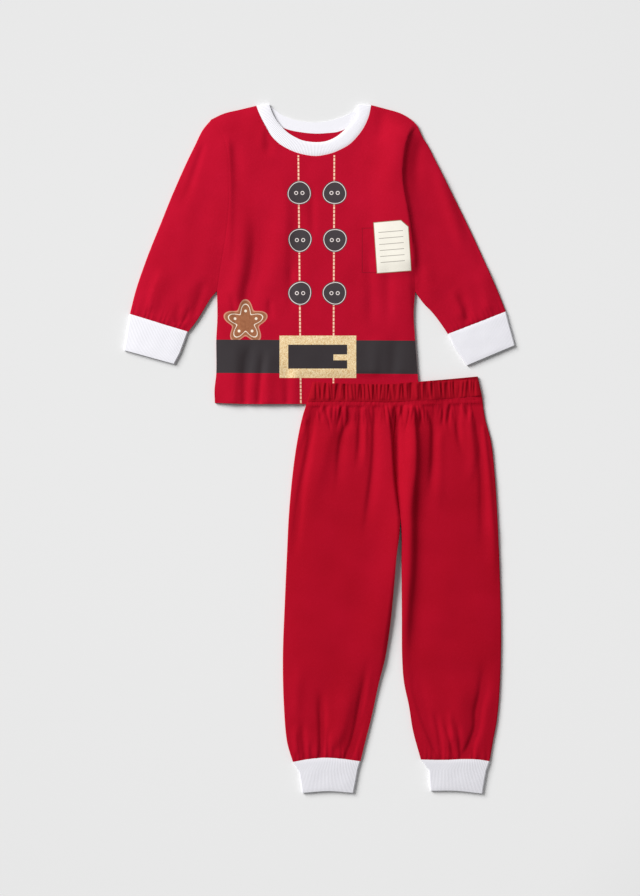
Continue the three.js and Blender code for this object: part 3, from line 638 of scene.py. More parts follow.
# The back: one panel of the same jersey with a higher neck, flat on the table, so its pressed
# creases are shallow. It shows inside the neck and from behind, and the print doesn't go round.
NECK_BACK = [
    (-89, 478.5), (-80, 467), (-68.5, 457), (-54.5, 449.5), (-42.5, 445), (-23.5, 441.5),
    (-5, 440), (13.5, 441), (25, 442.5), (38, 447.5), (52, 455.5), (63.5, 467), (71.5, 479.5),
]
BACK_ROLL, BACK_HIGHEST = 9, 0.45
BACK_CREASES = [
    (0.5, 7, 7, 40, 40, [(-60, 400), (-72, 300), (-66, 190)]),
    (0.4, 6, 6, 40, 40, [(70, 390), (60, 280), (72, 170)]),
    (0.5, 8, 8, 30, 30, [(-100, 330), (-112, 220)]),
    (0.4, 6, 6, 30, 30, [(100, 300), (92, 200)]),
    (0.4, 5, 5, 16, 4, [(-20, 110), (-24, 66)]),
    (0.4, 5, 5, 16, 4, [(-96, 120), (-92, 66)]),
]


def back_height(x, y, share=None):
    loose = np.maximum(creased(x, y, BACK_CREASES), 0) * rise(x, y, top_rims, BACK_ROLL)
    return np.minimum(loose, BACK_HIGHEST)


back_plan = panel(
    NECK_BACK, neck_spans=80, shoulder_spans=(20, 20), side_spans=40, armhole_spans=80,
)
back_outer, back_inner = faces_of(back_plan, back_height, -CLOTH)
back = sew("back_panel", back_outer, back_inner, False, row_lengths(back_plan))


def jersey(name, colour, lighter, darker):
    """Plain single jersey."""
    finish, place, grain = new_finish(name, JERSEY_ROUGHNESS, RED_SHEEN)
    dress(finish, Base_Color=mottled(place, colour, lighter, darker), Normal=knitted(grain))
    return finish


red_jersey = jersey("red_jersey", RED, RED_LIGHT, RED_DARK)
back.data.materials.append(red_jersey)
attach(back, "root")
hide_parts("top_back")

# The sleeves: each is one panel of jersey folded round the arm and joined to itself under it,
# set flat into the armhole and slightly gathered onto its cuff.
CUFF_SEAM_RIGHT = [(-266, 187.5), (-184.5, 162.5)]
CUFF_SEAM_LEFT = [(260, 191), (179, 159.5)]
SLEEVE_ROUND, SLEEVE_ALONG, SLEEVE_SPANS = 90, 112, (96, 40)
FOLD_STEPS = 8
FOLD_REACH = CAD_WALL + GAP / 2
CUFF_PUCKER, CUFF_PUCKER_FADE = 0.35, 9


def walked_row(row, start, stop, spans):
    """A row's places, even along it, from one end's turn to the other's."""
    walked = lengths(row)
    at = np.linspace(start, walked[-1] - stop, spans + 1)
    return np.stack([np.interp(at, walked, row[:, k]) for k in (0, 1)], axis=1)


def turn_over(plan, top_z, ground_z, wall, last):
    """The half round at a folded edge, for every row: outer and inner places."""
    ends = plan[:, [-1, -2] if last else [0, 1]]
    outward = ends[:, 0] - ends[:, 1]
    outward /= np.linalg.norm(outward, axis=1, keepdims=True)
    angles = np.radians(np.linspace(-90, 90, FOLD_STEPS + 1)[1:-1])
    middle, half = (top_z + ground_z) / 2, (top_z - ground_z) / 2

    def arc(out, up):
        plane = ends[:, 0][:, None] + outward[:, None] * (out * np.cos(angles))[None, :, None]
        z = middle[:, None] + up[:, None] * np.sin(angles)[None]
        return np.concatenate([plane, z[..., None]], axis=-1)

    return arc(FOLD_REACH, half), arc(FOLD_REACH - wall, half - wall)


def laid_tube(name, upper, lower, top, ground, spans, closed, wall=CLOTH):
    """A tube of cloth laid flat: a layer on the table, a fold, and a layer over it."""
    stop = FOLD_REACH if closed else 0
    layers = []
    for plan, count in ((upper, spans[0]), (lower, spans[1])):
        layers.append(np.array([walked_row(row, FOLD_REACH, stop, count) for row in plan]))
    layers[1][:, 0] = layers[0][:, 0]
    if closed:
        layers[1][:, -1] = layers[0][:, -1]
    shares = [np.linspace(0, 1, count + 1)[None] for count in spans]
    above = faces_of(layers[0], top, wall, shares[0])
    below = faces_of(layers[1], ground, -wall, shares[1])
    first = turn_over(layers[0], above[0][:, 0, 2], below[0][:, 0, 2], wall, False)
    sides = []
    for side in (0, 1):
        parts = [below[side][:, ::-1], first[side], above[side]]
        if closed:
            end = turn_over(layers[0], above[0][:, -1, 2], below[0][:, -1, 2], wall, True)
            parts.append(end[side][:, ::-1])
        sides.append(np.concatenate(parts, axis=1))
    middle = sides[0][len(upper) // 2]
    across = np.r_[0, np.linalg.norm(np.diff(middle, axis=0), axis=1).cumsum()]
    along = lengths(upper[:, upper.shape[1] // 2])
    return sew(name, sides[0], sides[1], closed, (across, along))


def on_table(x, y, share=None):
    return np.zeros(x.shape)


cuff_seams = [smooth_line(points, 8) for points in (CUFF_SEAM_RIGHT, CUFF_SEAM_LEFT)]


def sleeve_height(x, y, share=None):
    """The top's height, puckered and drawn down where the cuff gathers it."""
    away = np.min([nearest(x, y, line)[0] for line in cuff_seams], axis=0)
    pucker = np.sin(share * 71 + 1.3 * np.sin(share * 23)) * np.exp(-away / CUFF_PUCKER_FADE)
    held = 1 - 0.5 * np.exp(-away / 3)
    floor = 2 * CAD_WALL + GAP
    return floor + (top_height(x, y) - floor + CUFF_PUCKER * pucker) * held


def sleeve(name, node, armhole, outer, inner, cuff):
    plan = patch(places(armhole, SLEEVE_ROUND)[::-1], places(cuff, SLEEVE_ROUND),
                 places(outer, SLEEVE_ALONG), places(inner, SLEEVE_ALONG))
    plan = drawn_in(plan, "near", "far")
    piece = laid_tube(name, plan, plan, sleeve_height, on_table, SLEEVE_SPANS, False)
    piece.data.materials.append(red_jersey)
    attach(piece, "root")
    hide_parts(node)


sleeve("sleeve_right_panel", "sleeve_right", ARMHOLE_RIGHT, SLEEVE_RIGHT_OUTER,
       SLEEVE_RIGHT_INNER, CUFF_SEAM_RIGHT)
sleeve("sleeve_left_panel", "sleeve_left", ARMHOLE_LEFT, SLEEVE_LEFT_OUTER,
       SLEEVE_LEFT_INNER, CUFF_SEAM_LEFT)

# The neckband: a ring of white one-and-one rib, folded double and sewn round the neckline.
# Its ribs run across it, and it turns over at each shoulder.
NECK_FRONT_EDGE = [
    (-71.5, 481.5), (-66.5, 468.5), (-59.5, 456), (-47, 442.5), (-37.5, 436),
    (-26, 430.5), (-14.5, 428), (-5, 427.5), (4, 428), (13.5, 430.5),
    (24, 436), (34.5, 445), (48.5, 460.5), (52, 471), (54, 481.5),
]
NECK_BACK_EDGE = [
    (-71.5, 481.5), (-66.5, 475.5), (-59.5, 470.5), (-51.5, 465), (-37.5, 459.5), (-22.5, 456.5),
    (-6.5, 455.5), (10, 457), (25, 461), (39, 466.5), (48.5, 472.5), (54, 481.5),
]
BAND_WALL = 1.8
BAND_LOFT = 0.9
RIB_ROUGHNESS = 0.9
RIB_PITCH = 2.0
RIB_DEPTH = 0.1
# The rib's own white, then a deeper white that is painted shade for the rib valleys.
WHITE, RIB_PAINTED_SHADE = srgb(237, 236, 241), srgb(232, 231, 238)
RIB_ROW = 0.9
BAND_WIDTH, BAND_LEVELS, BAND_SPANS = 19.5, 9, (640, 330)
NECK_SPANS, BACK_NECK_SPANS, GUIDE_SPANS = 220, 120, 22
SHOULDER_LEAD = 4
PINNED_SHARE = 0.12
UNDERSIDE = 0.0003


def between(seam, edge):
    """Rows of the band, from its seam to its free edge."""
    t = np.linspace(0, 1, BAND_LEVELS)[:, None, None]
    return drawn_in(seam[None] * (1 - t) + edge[None] * t, "near")


def guided(points, guide):
    """A back neck line that leaves each shoulder along the front one, where the band folds."""
    line, lead = places(points, BACK_NECK_SPANS), places(guide, GUIDE_SPANS)
    first = lead[0] + (lead[1] - lead[0]) * SHOULDER_LEAD / np.linalg.norm(lead[1] - lead[0])
    last = lead[-1] + (lead[-2] - lead[-1]) * SHOULDER_LEAD / np.linalg.norm(lead[-2] - lead[-1])
    return joined(np.array([line[0], first]), line[1:-1], np.array([last, last, line[-1]])[1:])


def new_tree(name, *sizes):
    """The inputs of a new Geometry Nodes tree: a piece, its named sizes and its finish."""
    tree = bpy.data.node_groups.new(name, "GeometryNodeTree")
    tree.interface.new_socket("Geometry", in_out="INPUT", socket_type="NodeSocketGeometry")
    for size in sizes:
        tree.interface.new_socket(size, in_out="INPUT", socket_type="NodeSocketFloat")
    tree.interface.new_socket("Finish", in_out="INPUT", socket_type="NodeSocketMaterial")
    tree.interface.new_socket("Geometry", in_out="OUTPUT", socket_type="NodeSocketGeometry")
    start = tree.nodes.new("NodeGroupInput")
    return [Yarn(tree, start.outputs[k]) for k in range(len(sizes) + 2)]


def close_tree(shape, finish):
    """Ends the tree: one real mesh in its finish."""
    end = shape.tree.nodes.new("NodeGroupOutput")
    whole = shape.make("GeometryNodeRealizeInstances", None, {0: shape})
    made = shape.make("GeometryNodeSetMaterial", None, {"Geometry": whole, "Material": finish})
    shape.tree.links.new(made.socket, end.inputs[0])
    return shape.tree


def rib_tree():
    """Geometry Nodes that raise ribs on a band, by each place's millimetres round the ring."""
    knit, pitch, depth, finish = new_tree("rib_knit", "Rib pitch", "Rib depth")
    course = knit.make("GeometryNodeInputNamedAttribute", {"data_type": "FLOAT"},
                       {"Name": "round_the_ring"})
    height = (course / pitch * (2 * math.pi)).sine() * depth / 1000
    normal = knit.make("GeometryNodeInputNormal")
    offset = knit.make("ShaderNodeVectorMath", {"operation": "SCALE"},
                       {0: normal, "Scale": height})
    raised = knit.make("GeometryNodeSetPosition", None, {"Geometry": knit, "Offset": offset})
    return close_tree(raised, finish)


def grown(piece, tree, **values):
    """The piece as a plain mesh after its tree, with the tree's inputs set by identifier."""
    modifier = piece.modifiers.new(tree.name, "NODES")
    modifier.node_group = tree
    for item in tree.interface.items_tree:
        label = item.name.lower().replace(" ", "_")
        if item.in_out == "INPUT" and label in values:
            modifier[item.identifier] = values[label]
    seen = piece.evaluated_get(bpy.context.evaluated_depsgraph_get())
    mesh = bpy.data.meshes.new_from_object(seen)
    piece.modifiers.remove(modifier)
    old, piece.data = piece.data, mesh
    bpy.data.meshes.remove(old)
    mesh.name = piece.name
    mesh.shade_smooth()
    mesh.set_sharp_from_angle(angle=SHARP_ANGLE)
    return piece


def rib_finish():
    """One-and-one rib: white ridges, with painted shade darkening the valleys between them."""
    finish, _, grain = new_finish("white_rib", RIB_ROUGHNESS)
    across, along, _ = grain.parts()
    stitch = (along * (2 * math.pi / RIB_ROW)).sine() * 0.5 + 0.5
    relief = grain.make(
        "ShaderNodeBump", None, {"Strength": 0.3, "Distance": 0.0002, "Height": stitch},
    )
    ridge = (across * (2 * math.pi / RIB_PITCH)).sine() * 0.5 + 0.5
    # The valleys between the ribs are painted a little darker: painted shade.
    tone = (ridge * 0.8 + 0.2).colour(RIB_PAINTED_SHADE, WHITE)
    dress(finish, Base_Color=tone, Normal=relief)
    return finish


white_rib = rib_finish()
rib_knit = rib_tree()


def ribbed(piece, node):
    """Raises the ribs on a band's upper face only, and hands the piece over."""
    mesh = piece.data
    uv = np.zeros(2 * len(mesh.loops), np.float32)
    mesh.uv_layers["grain"].data.foreach_get("uv", uv)
    corner = np.zeros(len(mesh.loops), np.int32)
    mesh.loops.foreach_get("vertex_index", corner)
    ring = np.full(len(mesh.vertices), np.inf)
    np.minimum.at(ring, corner, uv[::2] * 1000)
    height = np.array([vertex.co.z for vertex in mesh.vertices])
    plain = (np.arange(len(ring)) >= len(ring) // 2) | (height < UNDERSIDE)
    ring[plain] = RIB_PITCH / 2 * np.round(ring[plain] / RIB_PITCH * 2)
    mesh.attributes.new("round_the_ring", "FLOAT", "POINT").data.foreach_set("value", ring)
    piece = grown(piece, rib_knit, rib_pitch=RIB_PITCH, rib_depth=RIB_DEPTH, finish=white_rib)
    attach(piece, "root")
    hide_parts(node)
    return piece


def facing(seam, points):
    """Places on a free edge, each opposite its place on the seam, so that the ribs run square."""
    edge = smooth_line(points)
    tangent = np.gradient(seam, axis=0)
    square = np.stack([-tangent[:, 1], tangent[:, 0]], axis=1)
    square /= np.linalg.norm(square, axis=1, keepdims=True)
    reach = seam + square * BAND_WIDTH
    _, along, _ = nearest(reach[:, 0], reach[:, 1], edge)
    walked = lengths(edge)
    even = np.linspace(0, walked[-1], len(seam))
    share = np.linspace(0, 1, len(seam))
    pinned = ease(np.minimum(share, 1 - share) / PINNED_SHARE)
    along = np.maximum.accumulate(along * pinned + even * (1 - pinned))
    along = along * walked[-1] / along[-1]
    return np.stack([np.interp(along, walked, edge[:, k]) for k in (0, 1)], axis=1)


neck_ends = [
    np.array([NECK_FRONT[0], NECK_FRONT_EDGE[0]], float),
    np.array([NECK_FRONT[-1], NECK_FRONT_EDGE[-1]], float),
]
neck_line = places(NECK_FRONT, NECK_SPANS)
neck_upper = between(neck_line, facing(neck_line, NECK_FRONT_EDGE))
neck_lower = between(guided(NECK_BACK, NECK_FRONT), guided(NECK_BACK_EDGE, NECK_FRONT_EDGE))
neck_seam, neck_edge = smooth_line(NECK_FRONT, 8), smooth_line(NECK_FRONT_EDGE, 8)


def neckband_height(x, y, share=None):
    """Rounded across: it dips at the seam and rolls over at the free edge."""
    seam = 1 - np.exp(-nearest(x, y, neck_seam)[0] / 2.2)
    edge = 1 - np.exp(-nearest(x, y, neck_edge)[0] / 2.0)
    loft = (BAND_LOFT + 0.5) * rise(x, y, neck_ends)
    return 2 * BAND_WALL + GAP + (loft + 0.1) * (0.35 + 0.65 * seam * edge)


neckband = laid_tube(
    "neckband_rib", neck_upper, neck_lower, neckband_height, on_table, BAND_SPANS, True,
)
ribbed(neckband, "neckband")

# The cuffs: a ring of the same rib on each sleeve, narrower than the sleeve it gathers, its
# ribs running along the arm. The ankle cuffs are the same on the legs, a little wider.
CUFF_ROUND, CUFF_LEVELS, CUFF_SPANS = 60, 19, (190, 190)
CUFF_ROWS = {
    "cuff_right": [
        [(-266, 187.5), (-184.5, 162.5)], [(-269, 171), (-190, 147.5)],
        [(-271.5, 154), (-195.5, 132.5)], [(-274.5, 137), (-203.5, 117.5)],
    ],
    "cuff_left": [
        [(260, 191), (179, 159.5)], [(264, 175), (186, 144)],
        [(268.5, 159), (195.5, 130)], [(272.5, 144), (205, 115.5)],
    ],
    "ankle_cuff_right": [
        [(-38, -439), (-16.5, -435), (5, -433), (26.5, -434), (56.5, -438)],
        [(-29.5, -452), (11, -450), (53, -450)],
        [(-27, -467), (11, -465), (50, -467)],
        [(-25, -482), (11, -479.5), (47, -482)],
    ],
    "ankle_cuff_left": [
        [(237.5, -438), (221.5, -435.5), (200, -435), (172, -436), (141, -435.5)],
        [(233, -451), (192, -449.5), (152, -450)],
        [(230, -467), (190, -464.5), (153, -465)],
        [(227.5, -483), (189, -479), (154, -479)],
    ],
}


def cuff(node, rows, flat, area):
    lines = np.array([places(points, CUFF_ROUND) for points in rows])
    t = np.linspace(0, len(lines) - 1, CUFF_LEVELS)
    k = np.minimum(t.astype(int), len(lines) - 2)
    plan = lines[k] * (1 - (t - k))[:, None, None] + lines[k + 1] * (t - k)[:, None, None]
    plan = drawn_in(plan, "near")
    sides = [plan[:, 0], plan[:, -1]]
    seam, hem = plan[0], plan[-1]

    def height(x, y, share):
        loft = BAND_LOFT * rise(x, y, sides) + 0.15 * lulls(x, y, 5, 30)
        held = 1 - 0.75 * np.exp(-nearest(x, y, seam)[0] / 1.6)
        held *= 1 - 0.5 * np.exp(-nearest(x, y, hem)[0] / 1.6)
        return 2 * BAND_WALL + GAP + air(loft) * held

    piece = laid_tube(node + "_rib", plan, plan, height, on_table, CUFF_SPANS, True)
    return ribbed(piece, node)


for node, rows in CUFF_ROWS.items():
    size = ((0.17, 0.052), 0.0085) if node.startswith("cuff") else ((0.18, 0.047), 0.0078)
    cuff(node, rows, *size)

# The waistband: a casing of the same red jersey, gathered into small uneven creases by the
# elastic inside it, and stitched down by a twin needle. It lies over the top's hem. Its jersey
# is painted darker than the legs', as painted shade of its gathers.
WAIST_TOP = [
    (-10, 92.5), (14, 90.5), (54, 89.5), (95, 89), (137.5, 92.5), (177.5, 96), (220.5, 100),
]
WAIST_SEAM = [
    (-18, 64.5), (14, 65), (54, 65), (105, 64.5), (136.5, 66.5), (182, 69.5), (226.5, 73.5),
]
WAIST_CREASES = np.array([
    -3, 5.5, 18, 24, 32, 39, 50.5, 60, 67, 74, 81, 91, 101,
    108, 115, 123, 130, 141.5, 150, 155.5, 164, 172, 180.5, 189, 196, 206, 214,
])
WAIST_SPANS, WAIST_LEVELS, CASING_SPANS = 200, 20, (300, 160)
WAIST_WIDTH, CASING_HIGH = 244, 27
WAIST_Y, SLANT_FROM_X, WAIST_SLANT = 65, 105, 0.035
CASING_LOFT = 3.2
STRIP_LOFT = 2.0
HEM_LIFT = 2 * CAD_WALL + GAP + PRESSED_LOFT + GAP
SLOPE_END_X, SLOPE_END_Y, SLOPE = 178, 29, 28


def lift(x, y, share=None):
    """The surface under the trousers: the top's hem, then a slope down to the table."""
    return HEM_LIFT * ease((SLOPE_END_X - x) / SLOPE) * ease((y - SLOPE_END_Y) / SLOPE)


def above_seam(x, y):
    """Millimetres above the seam of the waistband; below it they are negative."""
    return y - WAIST_Y - WAIST_SLANT * np.maximum(x - SLANT_FROM_X, 0)


def gathers(x, y, seed, places_x, low, high, depth, width, lean=0.14, ragged=0.15):
    """Small troughs that the elastic draws, uneven in length, lean and depth."""
    draw = np.random.default_rng(seed)
    up = above_seam(x, y)
    total = np.zeros(x.shape)
    for place_x in places_x:
        tilt, deep, wide, start, stop = draw.uniform(
            (-lean, 0.5, 0.8, 0.0, 0.8), (lean, 1.1, 1.4, ragged, 1.0),
        )
        share = (up - low) / (high - low)
        along = ease((share - start) / (0.2 + ragged / 2) + 1) * ease((stop - share) / 0.3 + 1)
        away = x - place_x - tilt * (up - low)
        total += depth * deep * along * np.exp(-((away / (width * wide)) ** 2))
    return total


def casing_height(x, y, share):
    """A full casing between its troughs, drawn down at its seam, its top fold and its ends."""
    up = above_seam(x, y)
    body = CASING_LOFT + gathers(x, y, 11, WAIST_CREASES, 1, 25, -1.9, 2.0)
    body += 0.25 * lulls(x, y, 8, 22)
    body += gathers(x, y, 14, WAIST_CREASES + 3.2, 1, 24, -1.5, 1.6)
    body += gathers(x, y, 16, WAIST_CREASES - 2.9, 1, 24, -1.1, 1.4)
    body = STRIP_LOFT - 0.6 + (air(body) - STRIP_LOFT + 0.6) * ease(up / 5)
    ends = np.minimum(share, 1 - share) * WAIST_WIDTH
    rolled = (1 - 0.6 * np.exp(-np.abs(up - CASING_HIGH) / 2)) * (1 - 0.7 * np.exp(-ends / 4))
    return lift(x, y) + 2 * BAND_WALL + GAP + body * rolled


def casing_ground(x, y, share):
    """The casing's lower layer, gathered as the upper one is, a little to its left."""
    return lift(x, y) + np.clip(gathers(x + 4, y, 12, WAIST_CREASES, 2, 24, 0.6, 2.2), 0, 0.7)


waist_lines = [places(WAIST_TOP, WAIST_SPANS), places(WAIST_SEAM, WAIST_SPANS)]
t = np.linspace(0, 1, WAIST_LEVELS)[:, None, None]
waist_plan = waist_lines[0][None] * (1 - t) + waist_lines[1][None] * t
waist_plan = drawn_in(waist_plan, "far")
waistband = laid_tube(
    "waistband_casing", waist_plan, waist_plan, casing_height, casing_ground, CASING_SPANS, True,
)
trouser_jersey = jersey("trouser_jersey", srgb(179, 7, 37), srgb(191, 19, 49), srgb(170, 5, 31))
# The casing's jersey: the trousers' red painted darker, as painted shade of its gathers.
gathered_jersey = jersey("gathered_jersey", srgb(164, 6, 29), srgb(175, 16, 39), srgb(156, 5, 26))
waistband.data.materials.append(gathered_jersey)
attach(waistband, "root")
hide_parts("waistband")

# The legs: each is one panel of jersey folded at the outer side and joined along the inside leg
# and, to the other leg, along the rise. The waist gathers it above and the ankle cuff below.
LEG_RIGHT_OUTER = [
    (-18, 64.5), (-25, 42), (-32, 8.5), (-38, -33.5), (-43.5, -92.5), (-46, -143),
    (-49, -210), (-52, -294), (-50.5, -361), (-46, -411.5), (-38, -439),
]
LEG_LEFT_OUTER = [
    (226.5, 73.5), (231, 42), (239.5, 8.5), (245, -42), (249, -109), (252, -185),
    (253.5, -260.5), (252, -327.5), (248, -378), (242, -411.5), (237.5, -438),
]
RISE = [
    (105, 64.5), (106, 39), (103.5, 11), (103, -12.5), (106.5, -42), (109, -68.5), (112.5, -96.5),
]
INSEAM_RIGHT = [
    (112.5, -96.5), (110.5, -122), (107, -150), (102, -210), (96.5, -260.5),
    (91, -294), (82.5, -327.5), (71.5, -378), (63, -411.5), (56.5, -438),
]
INSEAM_LEFT = [
    (112.5, -96.5), (114, -122), (114, -157), (114.5, -227), (115, -294),
    (117.5, -327.5), (124.5, -361), (130, -395), (141, -435.5),
]
LEG_LOFT, LEG_ROLL, STRIP_ROLL = 2.6, 18, 4
LEG_ROUND, RISE_ROWS, LEG_ROWS, LEG_SPANS, RISE_SHARE = 60, 76, 150, (92, 36), 0.32
PUCKER_PITCH = 3.7
STITCH_ROWS = (-0.9, -5.9)
STITCH_DIP, STITCH_SPREAD = -0.45, 0.8
THREAD_PITCH, THREAD_LIFT = 3.1, 0.05
LEG_CREASES = [
    (1.8, 6, 4, 10, 60, [(-19.5, 47.5), (-22.5, 25), (-29.5, 3), (-35, -19.5)]),
    (-2.5, 4.5, 6, 8, 90, [(-9.5, 59), (-11, 36.5), (-13, 17), (-18, -11), (-26, -56), (-33, -115),
                           (-39, -171)]),
    (2.3, 20, 13, 40, 110, [(-4, 61.5), (14, 25), (8.5, 3), (-1.5, -31), (-12.5, -73),
                            (-19.5, -129)]),
    (-1.2, 3, 4, 4, 20, [(10.5, 64.5), (5, 50.5), (-0.5, 33.5)]),
    (-1.2, 3, 3.5, 4, 12, [(-0.5, 64.5), (-7.5, 50.5), (-12, 39)]),
    (1.4, 6, 4, 6, 20, [(25, 61.5), (22.5, 33.5)]),
    (-2.4, 4, 8, 4, 80, [(42, 70), (40.5, 39), (32, 19.5), (28, -3), (25, -45), (22.5, -73)]),
    (-2.2, 3.6, 6, 4, 45, [(54.5, 70), (55.5, 39), (54.5, -3), (50, -36.5)]),
    (-2.4, 4, 8, 4, 80, [(74, 70), (75.5, 39), (75.5, 4), (73.5, -31), (67, -87), (60, -136)]),
    (1.6, 4, 4, 10, 60, [(61.5, 61.5), (63, 3), (59, -45)]),
    (-1.6, 3.2, 3.5, 4, 20, [(86, 73), (89, 28)]),
    (4.4, 24, 5.5, 40, 130, [(95, 70), (96.5, 32), (98.5, 4), (101.5, -45), (106.5, -87),
                             (106.5, -129), (98.5, -199), (89, -269), (80, -325), (70, -369.5)]),
    (-2.6, 4, 4.5, 4, 30, [(106.5, 70), (108, 32), (108, -14), (110, -59), (115, -101)]),
    (-1.5, 3, 3, 4, 20, [(115.5, 67), (115.5, 33.5)]),
    (4.8, 12, 5, 26, 70, [(127.5, 73), (131.5, 32), (133, 4), (132.5, -24), (130, -59),
                          (129.5, -101)]),
    (4.2, 12, 9, 60, 90, [(128, -31), (126, -73), (125.5, -129), (124, -171), (121, -220),
                          (118.5, -269), (117, -325)]),
    (-2.4, 6, 22, 50, 110, [(137, -31), (137, -129), (136, -171), (131.5, -220), (129, -269),
                            (127.5, -332)]),
    (5, 16, 28, 70, 250, [(124.5, 73), (129, 32), (129, 4), (126, -24), (122, -73), (117.5, -129),
                          (116, -171), (116, -220), (116, -269), (117.5, -339)]),
    (-2, 3.2, 3.5, 4, 22, [(143.5, 67), (149, 50.5), (156, 33.5)]),
    (-2.8, 4, 10, 4, 60, [(148.5, 64.5), (157, 39), (158, 4), (157, -31), (152.5, -73)]),
    (1.3, 7, 7, 30, 60, [(168, 33.5), (166.5, -17), (165, -101)]),
    (-1.4, 3, 3.5, 4, 18, [(161.5, 70), (163, 39)]),
    (-0.8, 5, 7, 10, 60, [(180, 61.5), (182.5, 33.5), (181.5, -3)]),
    (-2.5, 3.6, 4.5, 4, 50, [(187.5, 70), (191.5, 45), (194.5, 11), (204, -17)]),
    (-1.7, 3.5, 4, 4, 22, [(202.5, 70), (209.5, 33.5)]),
    (1.8, 7, 5, 12, 50, [(210, 56), (211.5, 22.5), (214, -17), (207, -59)]),
    (-2.2, 5, 9, 8, 90, [(219, 67), (221, 32), (224.5, 3), (227, -45), (227.5, -115),
                         (224.5, -157)]),
    (-1.8, 3, 3.5, 4, 30, [(227.5, 70), (233, 39), (238.5, 11)]),
    (2, 7, 4.5, 16, 110, [(227, 39), (231, 4), (236.5, -45), (239.5, -87), (243, -129),
                          (243.5, -213)]),
    (1.2, 9, 9, 40, 30, [(-25, -290), (-32, -339), (-32, -386.5)]),
    (-1.8, 4, 4.5, 24, 4, [(-25, -375), (-21, -442.5)]),
    (1.2, 5, 3, 16, 8, [(-35, -386.5), (-32, -431)]),
    (-3.4, 5, 6, 50, 4, [(0.5, -327.5), (3, -381), (3, -416), (1.5, -445)]),
    (-1.4, 3, 3.5, 20, 4, [(12, -386.5), (10.5, -445)]),
    (-1.3, 3, 3.2, 18, 4, [(-12, -406), (-12, -445)]),
    (2.4, 15, 10, 50, 24, [(45, -313.5), (38, -361), (29.5, -395), (15.5, -425.5)]),
    (-3.2, 5, 7, 80, 4, [(69.5, -283), (61, -339), (55.5, -369.5), (50.5, -395), (44, -416),
                         (33, -445)]),
    (1.2, 5, 4, 40, 20, [(71.5, -297), (66, -339), (59, -369.5), (52, -395), (39, -431)]),
    (-2, 3, 3.6, 24, 4, [(52.5, -389), (45.5, -423), (38.5, -445)]),
    (-1.1, 3, 3, 14, 4, [(20.5, -411.5), (19, -445)]),
    (-2.2, 5, 13, 50, 30, [(128, -290), (138, -353), (153.5, -402), (170, -442.5)]),
    (-1.7, 3.5, 4, 26, 4, [(159, -361), (166, -395), (172, -442.5)]),
    (-1.7, 3.2, 4, 24, 4, [(171.5, -375), (183, -411.5), (187, -442.5)]),
    (1.3, 4, 4, 20, 14, [(180.5, -361), (186, -414.5)]),
    (-1.6, 3.2, 4, 20, 4, [(191, -378), (195.5, -414.5), (197, -442.5)]),
    (2.2, 15, 15, 50, 24, [(201.5, -308), (197.5, -358.5), (194.5, -392), (182, -425.5)]),
    (-3.6, 6, 9, 70, 4, [(231, -283), (227, -339), (220.5, -367), (218.5, -392), (211.5, -411.5),
                         (196, -442.5)]),
    (0.7, 8, 8, 40, 20, [(234, -313.5), (231, -361), (225.5, -392), (215.5, -425.5)]),
    (-1.3, 3, 3.5, 14, 4, [(212, -411.5), (213.5, -445)]),
]
leg_rims = [
    smooth_line(points, 5)
    for points in (LEG_RIGHT_OUTER, LEG_LEFT_OUTER, INSEAM_RIGHT, INSEAM_LEFT)
]
ankle_seams = [
    smooth_line(CUFF_ROWS[node][0], 6) for node in ("ankle_cuff_right", "ankle_cuff_left")
]
rise_seam = smooth_line(RISE, 8)
puckers = np.arange(-12, 222, PUCKER_PITCH) + np.random.default_rng(5).uniform(-1.1, 1.1, 64)


def stitch_dip(up):
    return sum(STITCH_DIP * np.exp(-(((up - row) / STITCH_SPREAD) ** 2)) for row in STITCH_ROWS)


def leg_height(x, y, share=None):
    """Loose folds, held flat between the waist's two stitch rows and drawn in at the ankles."""
    down = -above_seam(x, y)
    ankle = np.min([nearest(x, y, line)[0] for line in ankle_seams], axis=0)
    loose = LEG_LOFT * rise(x, y, leg_rims, LEG_ROLL) + creased(x, y, LEG_CREASES)
    loose += 0.3 * lulls(x, y, 21, 42)
    loose += gathers(x, y, 13, puckers, -30, -1, -1.5, 1.5, 0.22, 0.9)
    loose += 0.5 * np.sin(x * 0.78 + 1.5 * np.sin(x * 0.21)) * np.exp(-ankle / 9)
    loose += seam_dip(x, y, [rise_seam], 0.5, 1.2)
    loose = air(loose) * (1 - 0.6 * np.exp(-ankle / 2.5))
    strip = STRIP_LOFT + gathers(x, y, 15, puckers + 1.5, -5, 0, -0.5, 1.1, 0.3) + stitch_dip(-down)
    strip *= rise(x, y, leg_rims, STRIP_ROLL)
    loose = strip + (loose - strip) * ease((down - 5) / 4)
    return lift(x, y) + 2 * CAD_WALL + GAP + loose


def thread_tree():
    """Geometry Nodes that lay one short rounded stitch on each place of a row, turned along it."""
    row, length, width, finish = new_tree("twin_needle", "Stitch length", "Thread width")
    bead = row.make("GeometryNodeMeshIcoSphere", None, {"Radius": 0.5, "Subdivisions": 2})
    size = row.make("ShaderNodeCombineXYZ", None, {0: length, 1: width, 2: width})
    turn = row.make("GeometryNodeInputNamedAttribute", {"data_type": "FLOAT"}, {"Name": "turn"})
    heading = row.make("ShaderNodeCombineXYZ", None, {2: turn})
    laid = row.make("GeometryNodeInstanceOnPoints", None,
                    {"Points": row, "Instance": bead, "Rotation": heading, "Scale": size})
    return close_tree(laid, finish)


twin_needle = thread_tree()


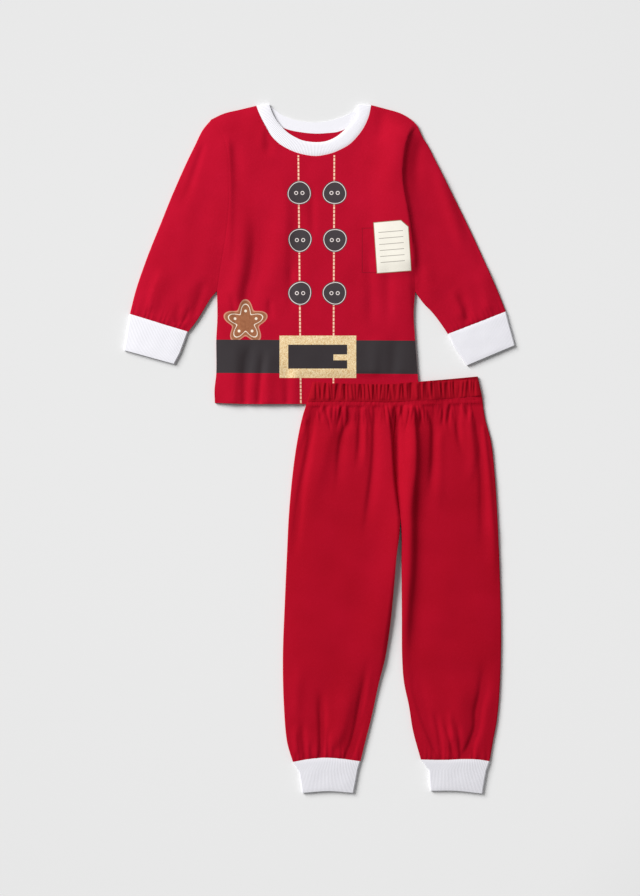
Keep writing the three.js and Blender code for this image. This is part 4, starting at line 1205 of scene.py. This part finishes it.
def stitched(name, start, stop):
    """The two rows of stitches that hold the casing down, on one leg."""
    seats, turns = [], []
    for row in STITCH_ROWS:
        x = np.arange(start + 4, stop - 2, THREAD_PITCH)
        y = WAIST_Y + row + WAIST_SLANT * np.maximum(x - SLANT_FROM_X, 0)
        z = leg_height(x, y) + THREAD_LIFT
        seats.append(np.stack([x - CENTRE[0], y - CENTRE[1], z], axis=1))
        turns.append(np.where(x > SLANT_FROM_X, WAIST_SLANT, 0))
    seats = np.concatenate(seats) / 1000
    mesh = bpy.data.meshes.new(name)
    mesh.from_pydata(seats, [], [])
    mesh.attributes.new("turn", "FLOAT", "POINT").data.foreach_set("value", np.concatenate(turns))
    thread = bpy.data.objects.new(name, mesh)
    bpy.context.collection.objects.link(thread)
    grown(thread, twin_needle, stitch_length=0.0024, thread_width=0.0006, finish=trouser_jersey)
    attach(thread, "root")
    return thread


def leg(name, node, outer, inseam, ankle, right):
    """One leg with its stitches: it shares the waist's seam with the other leg at the rise."""
    seam = smooth_line(WAIST_SEAM)
    middle = np.argmin(np.abs(seam[:, 0] - RISE[0][0]))
    waist = seam[: middle + 1] if right else seam[middle:][::-1]
    waist[-1] = RISE[0]
    near = walked_row(waist, 0, 0, LEG_ROUND)
    outer_shares = np.r_[np.linspace(0, RISE_SHARE, RISE_ROWS + 1),
                         np.linspace(RISE_SHARE, 1, LEG_ROWS + 1)[1:]]
    inner = joined(places(RISE, RISE_ROWS), places(inseam, LEG_ROWS))
    plan = patch(near, places(ankle, LEG_ROUND), places(outer, outer_shares), inner)
    plan = drawn_in(plan, "near", "far", "right")
    piece = laid_tube(name, plan, plan, leg_height, lift, LEG_SPANS, False)
    piece.data.materials.append(trouser_jersey)
    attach(piece, "root")
    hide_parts(node)
    thread = stitched(name.replace("panel", "stitches"), near[:, 0].min(), near[:, 0].max())


leg("leg_right_panel", "leg_right", LEG_RIGHT_OUTER, INSEAM_RIGHT,
    CUFF_ROWS["ankle_cuff_right"][0], True)
leg("leg_left_panel", "leg_left", LEG_LEFT_OUTER, INSEAM_LEFT,
    CUFF_ROWS["ankle_cuff_left"][0], False)
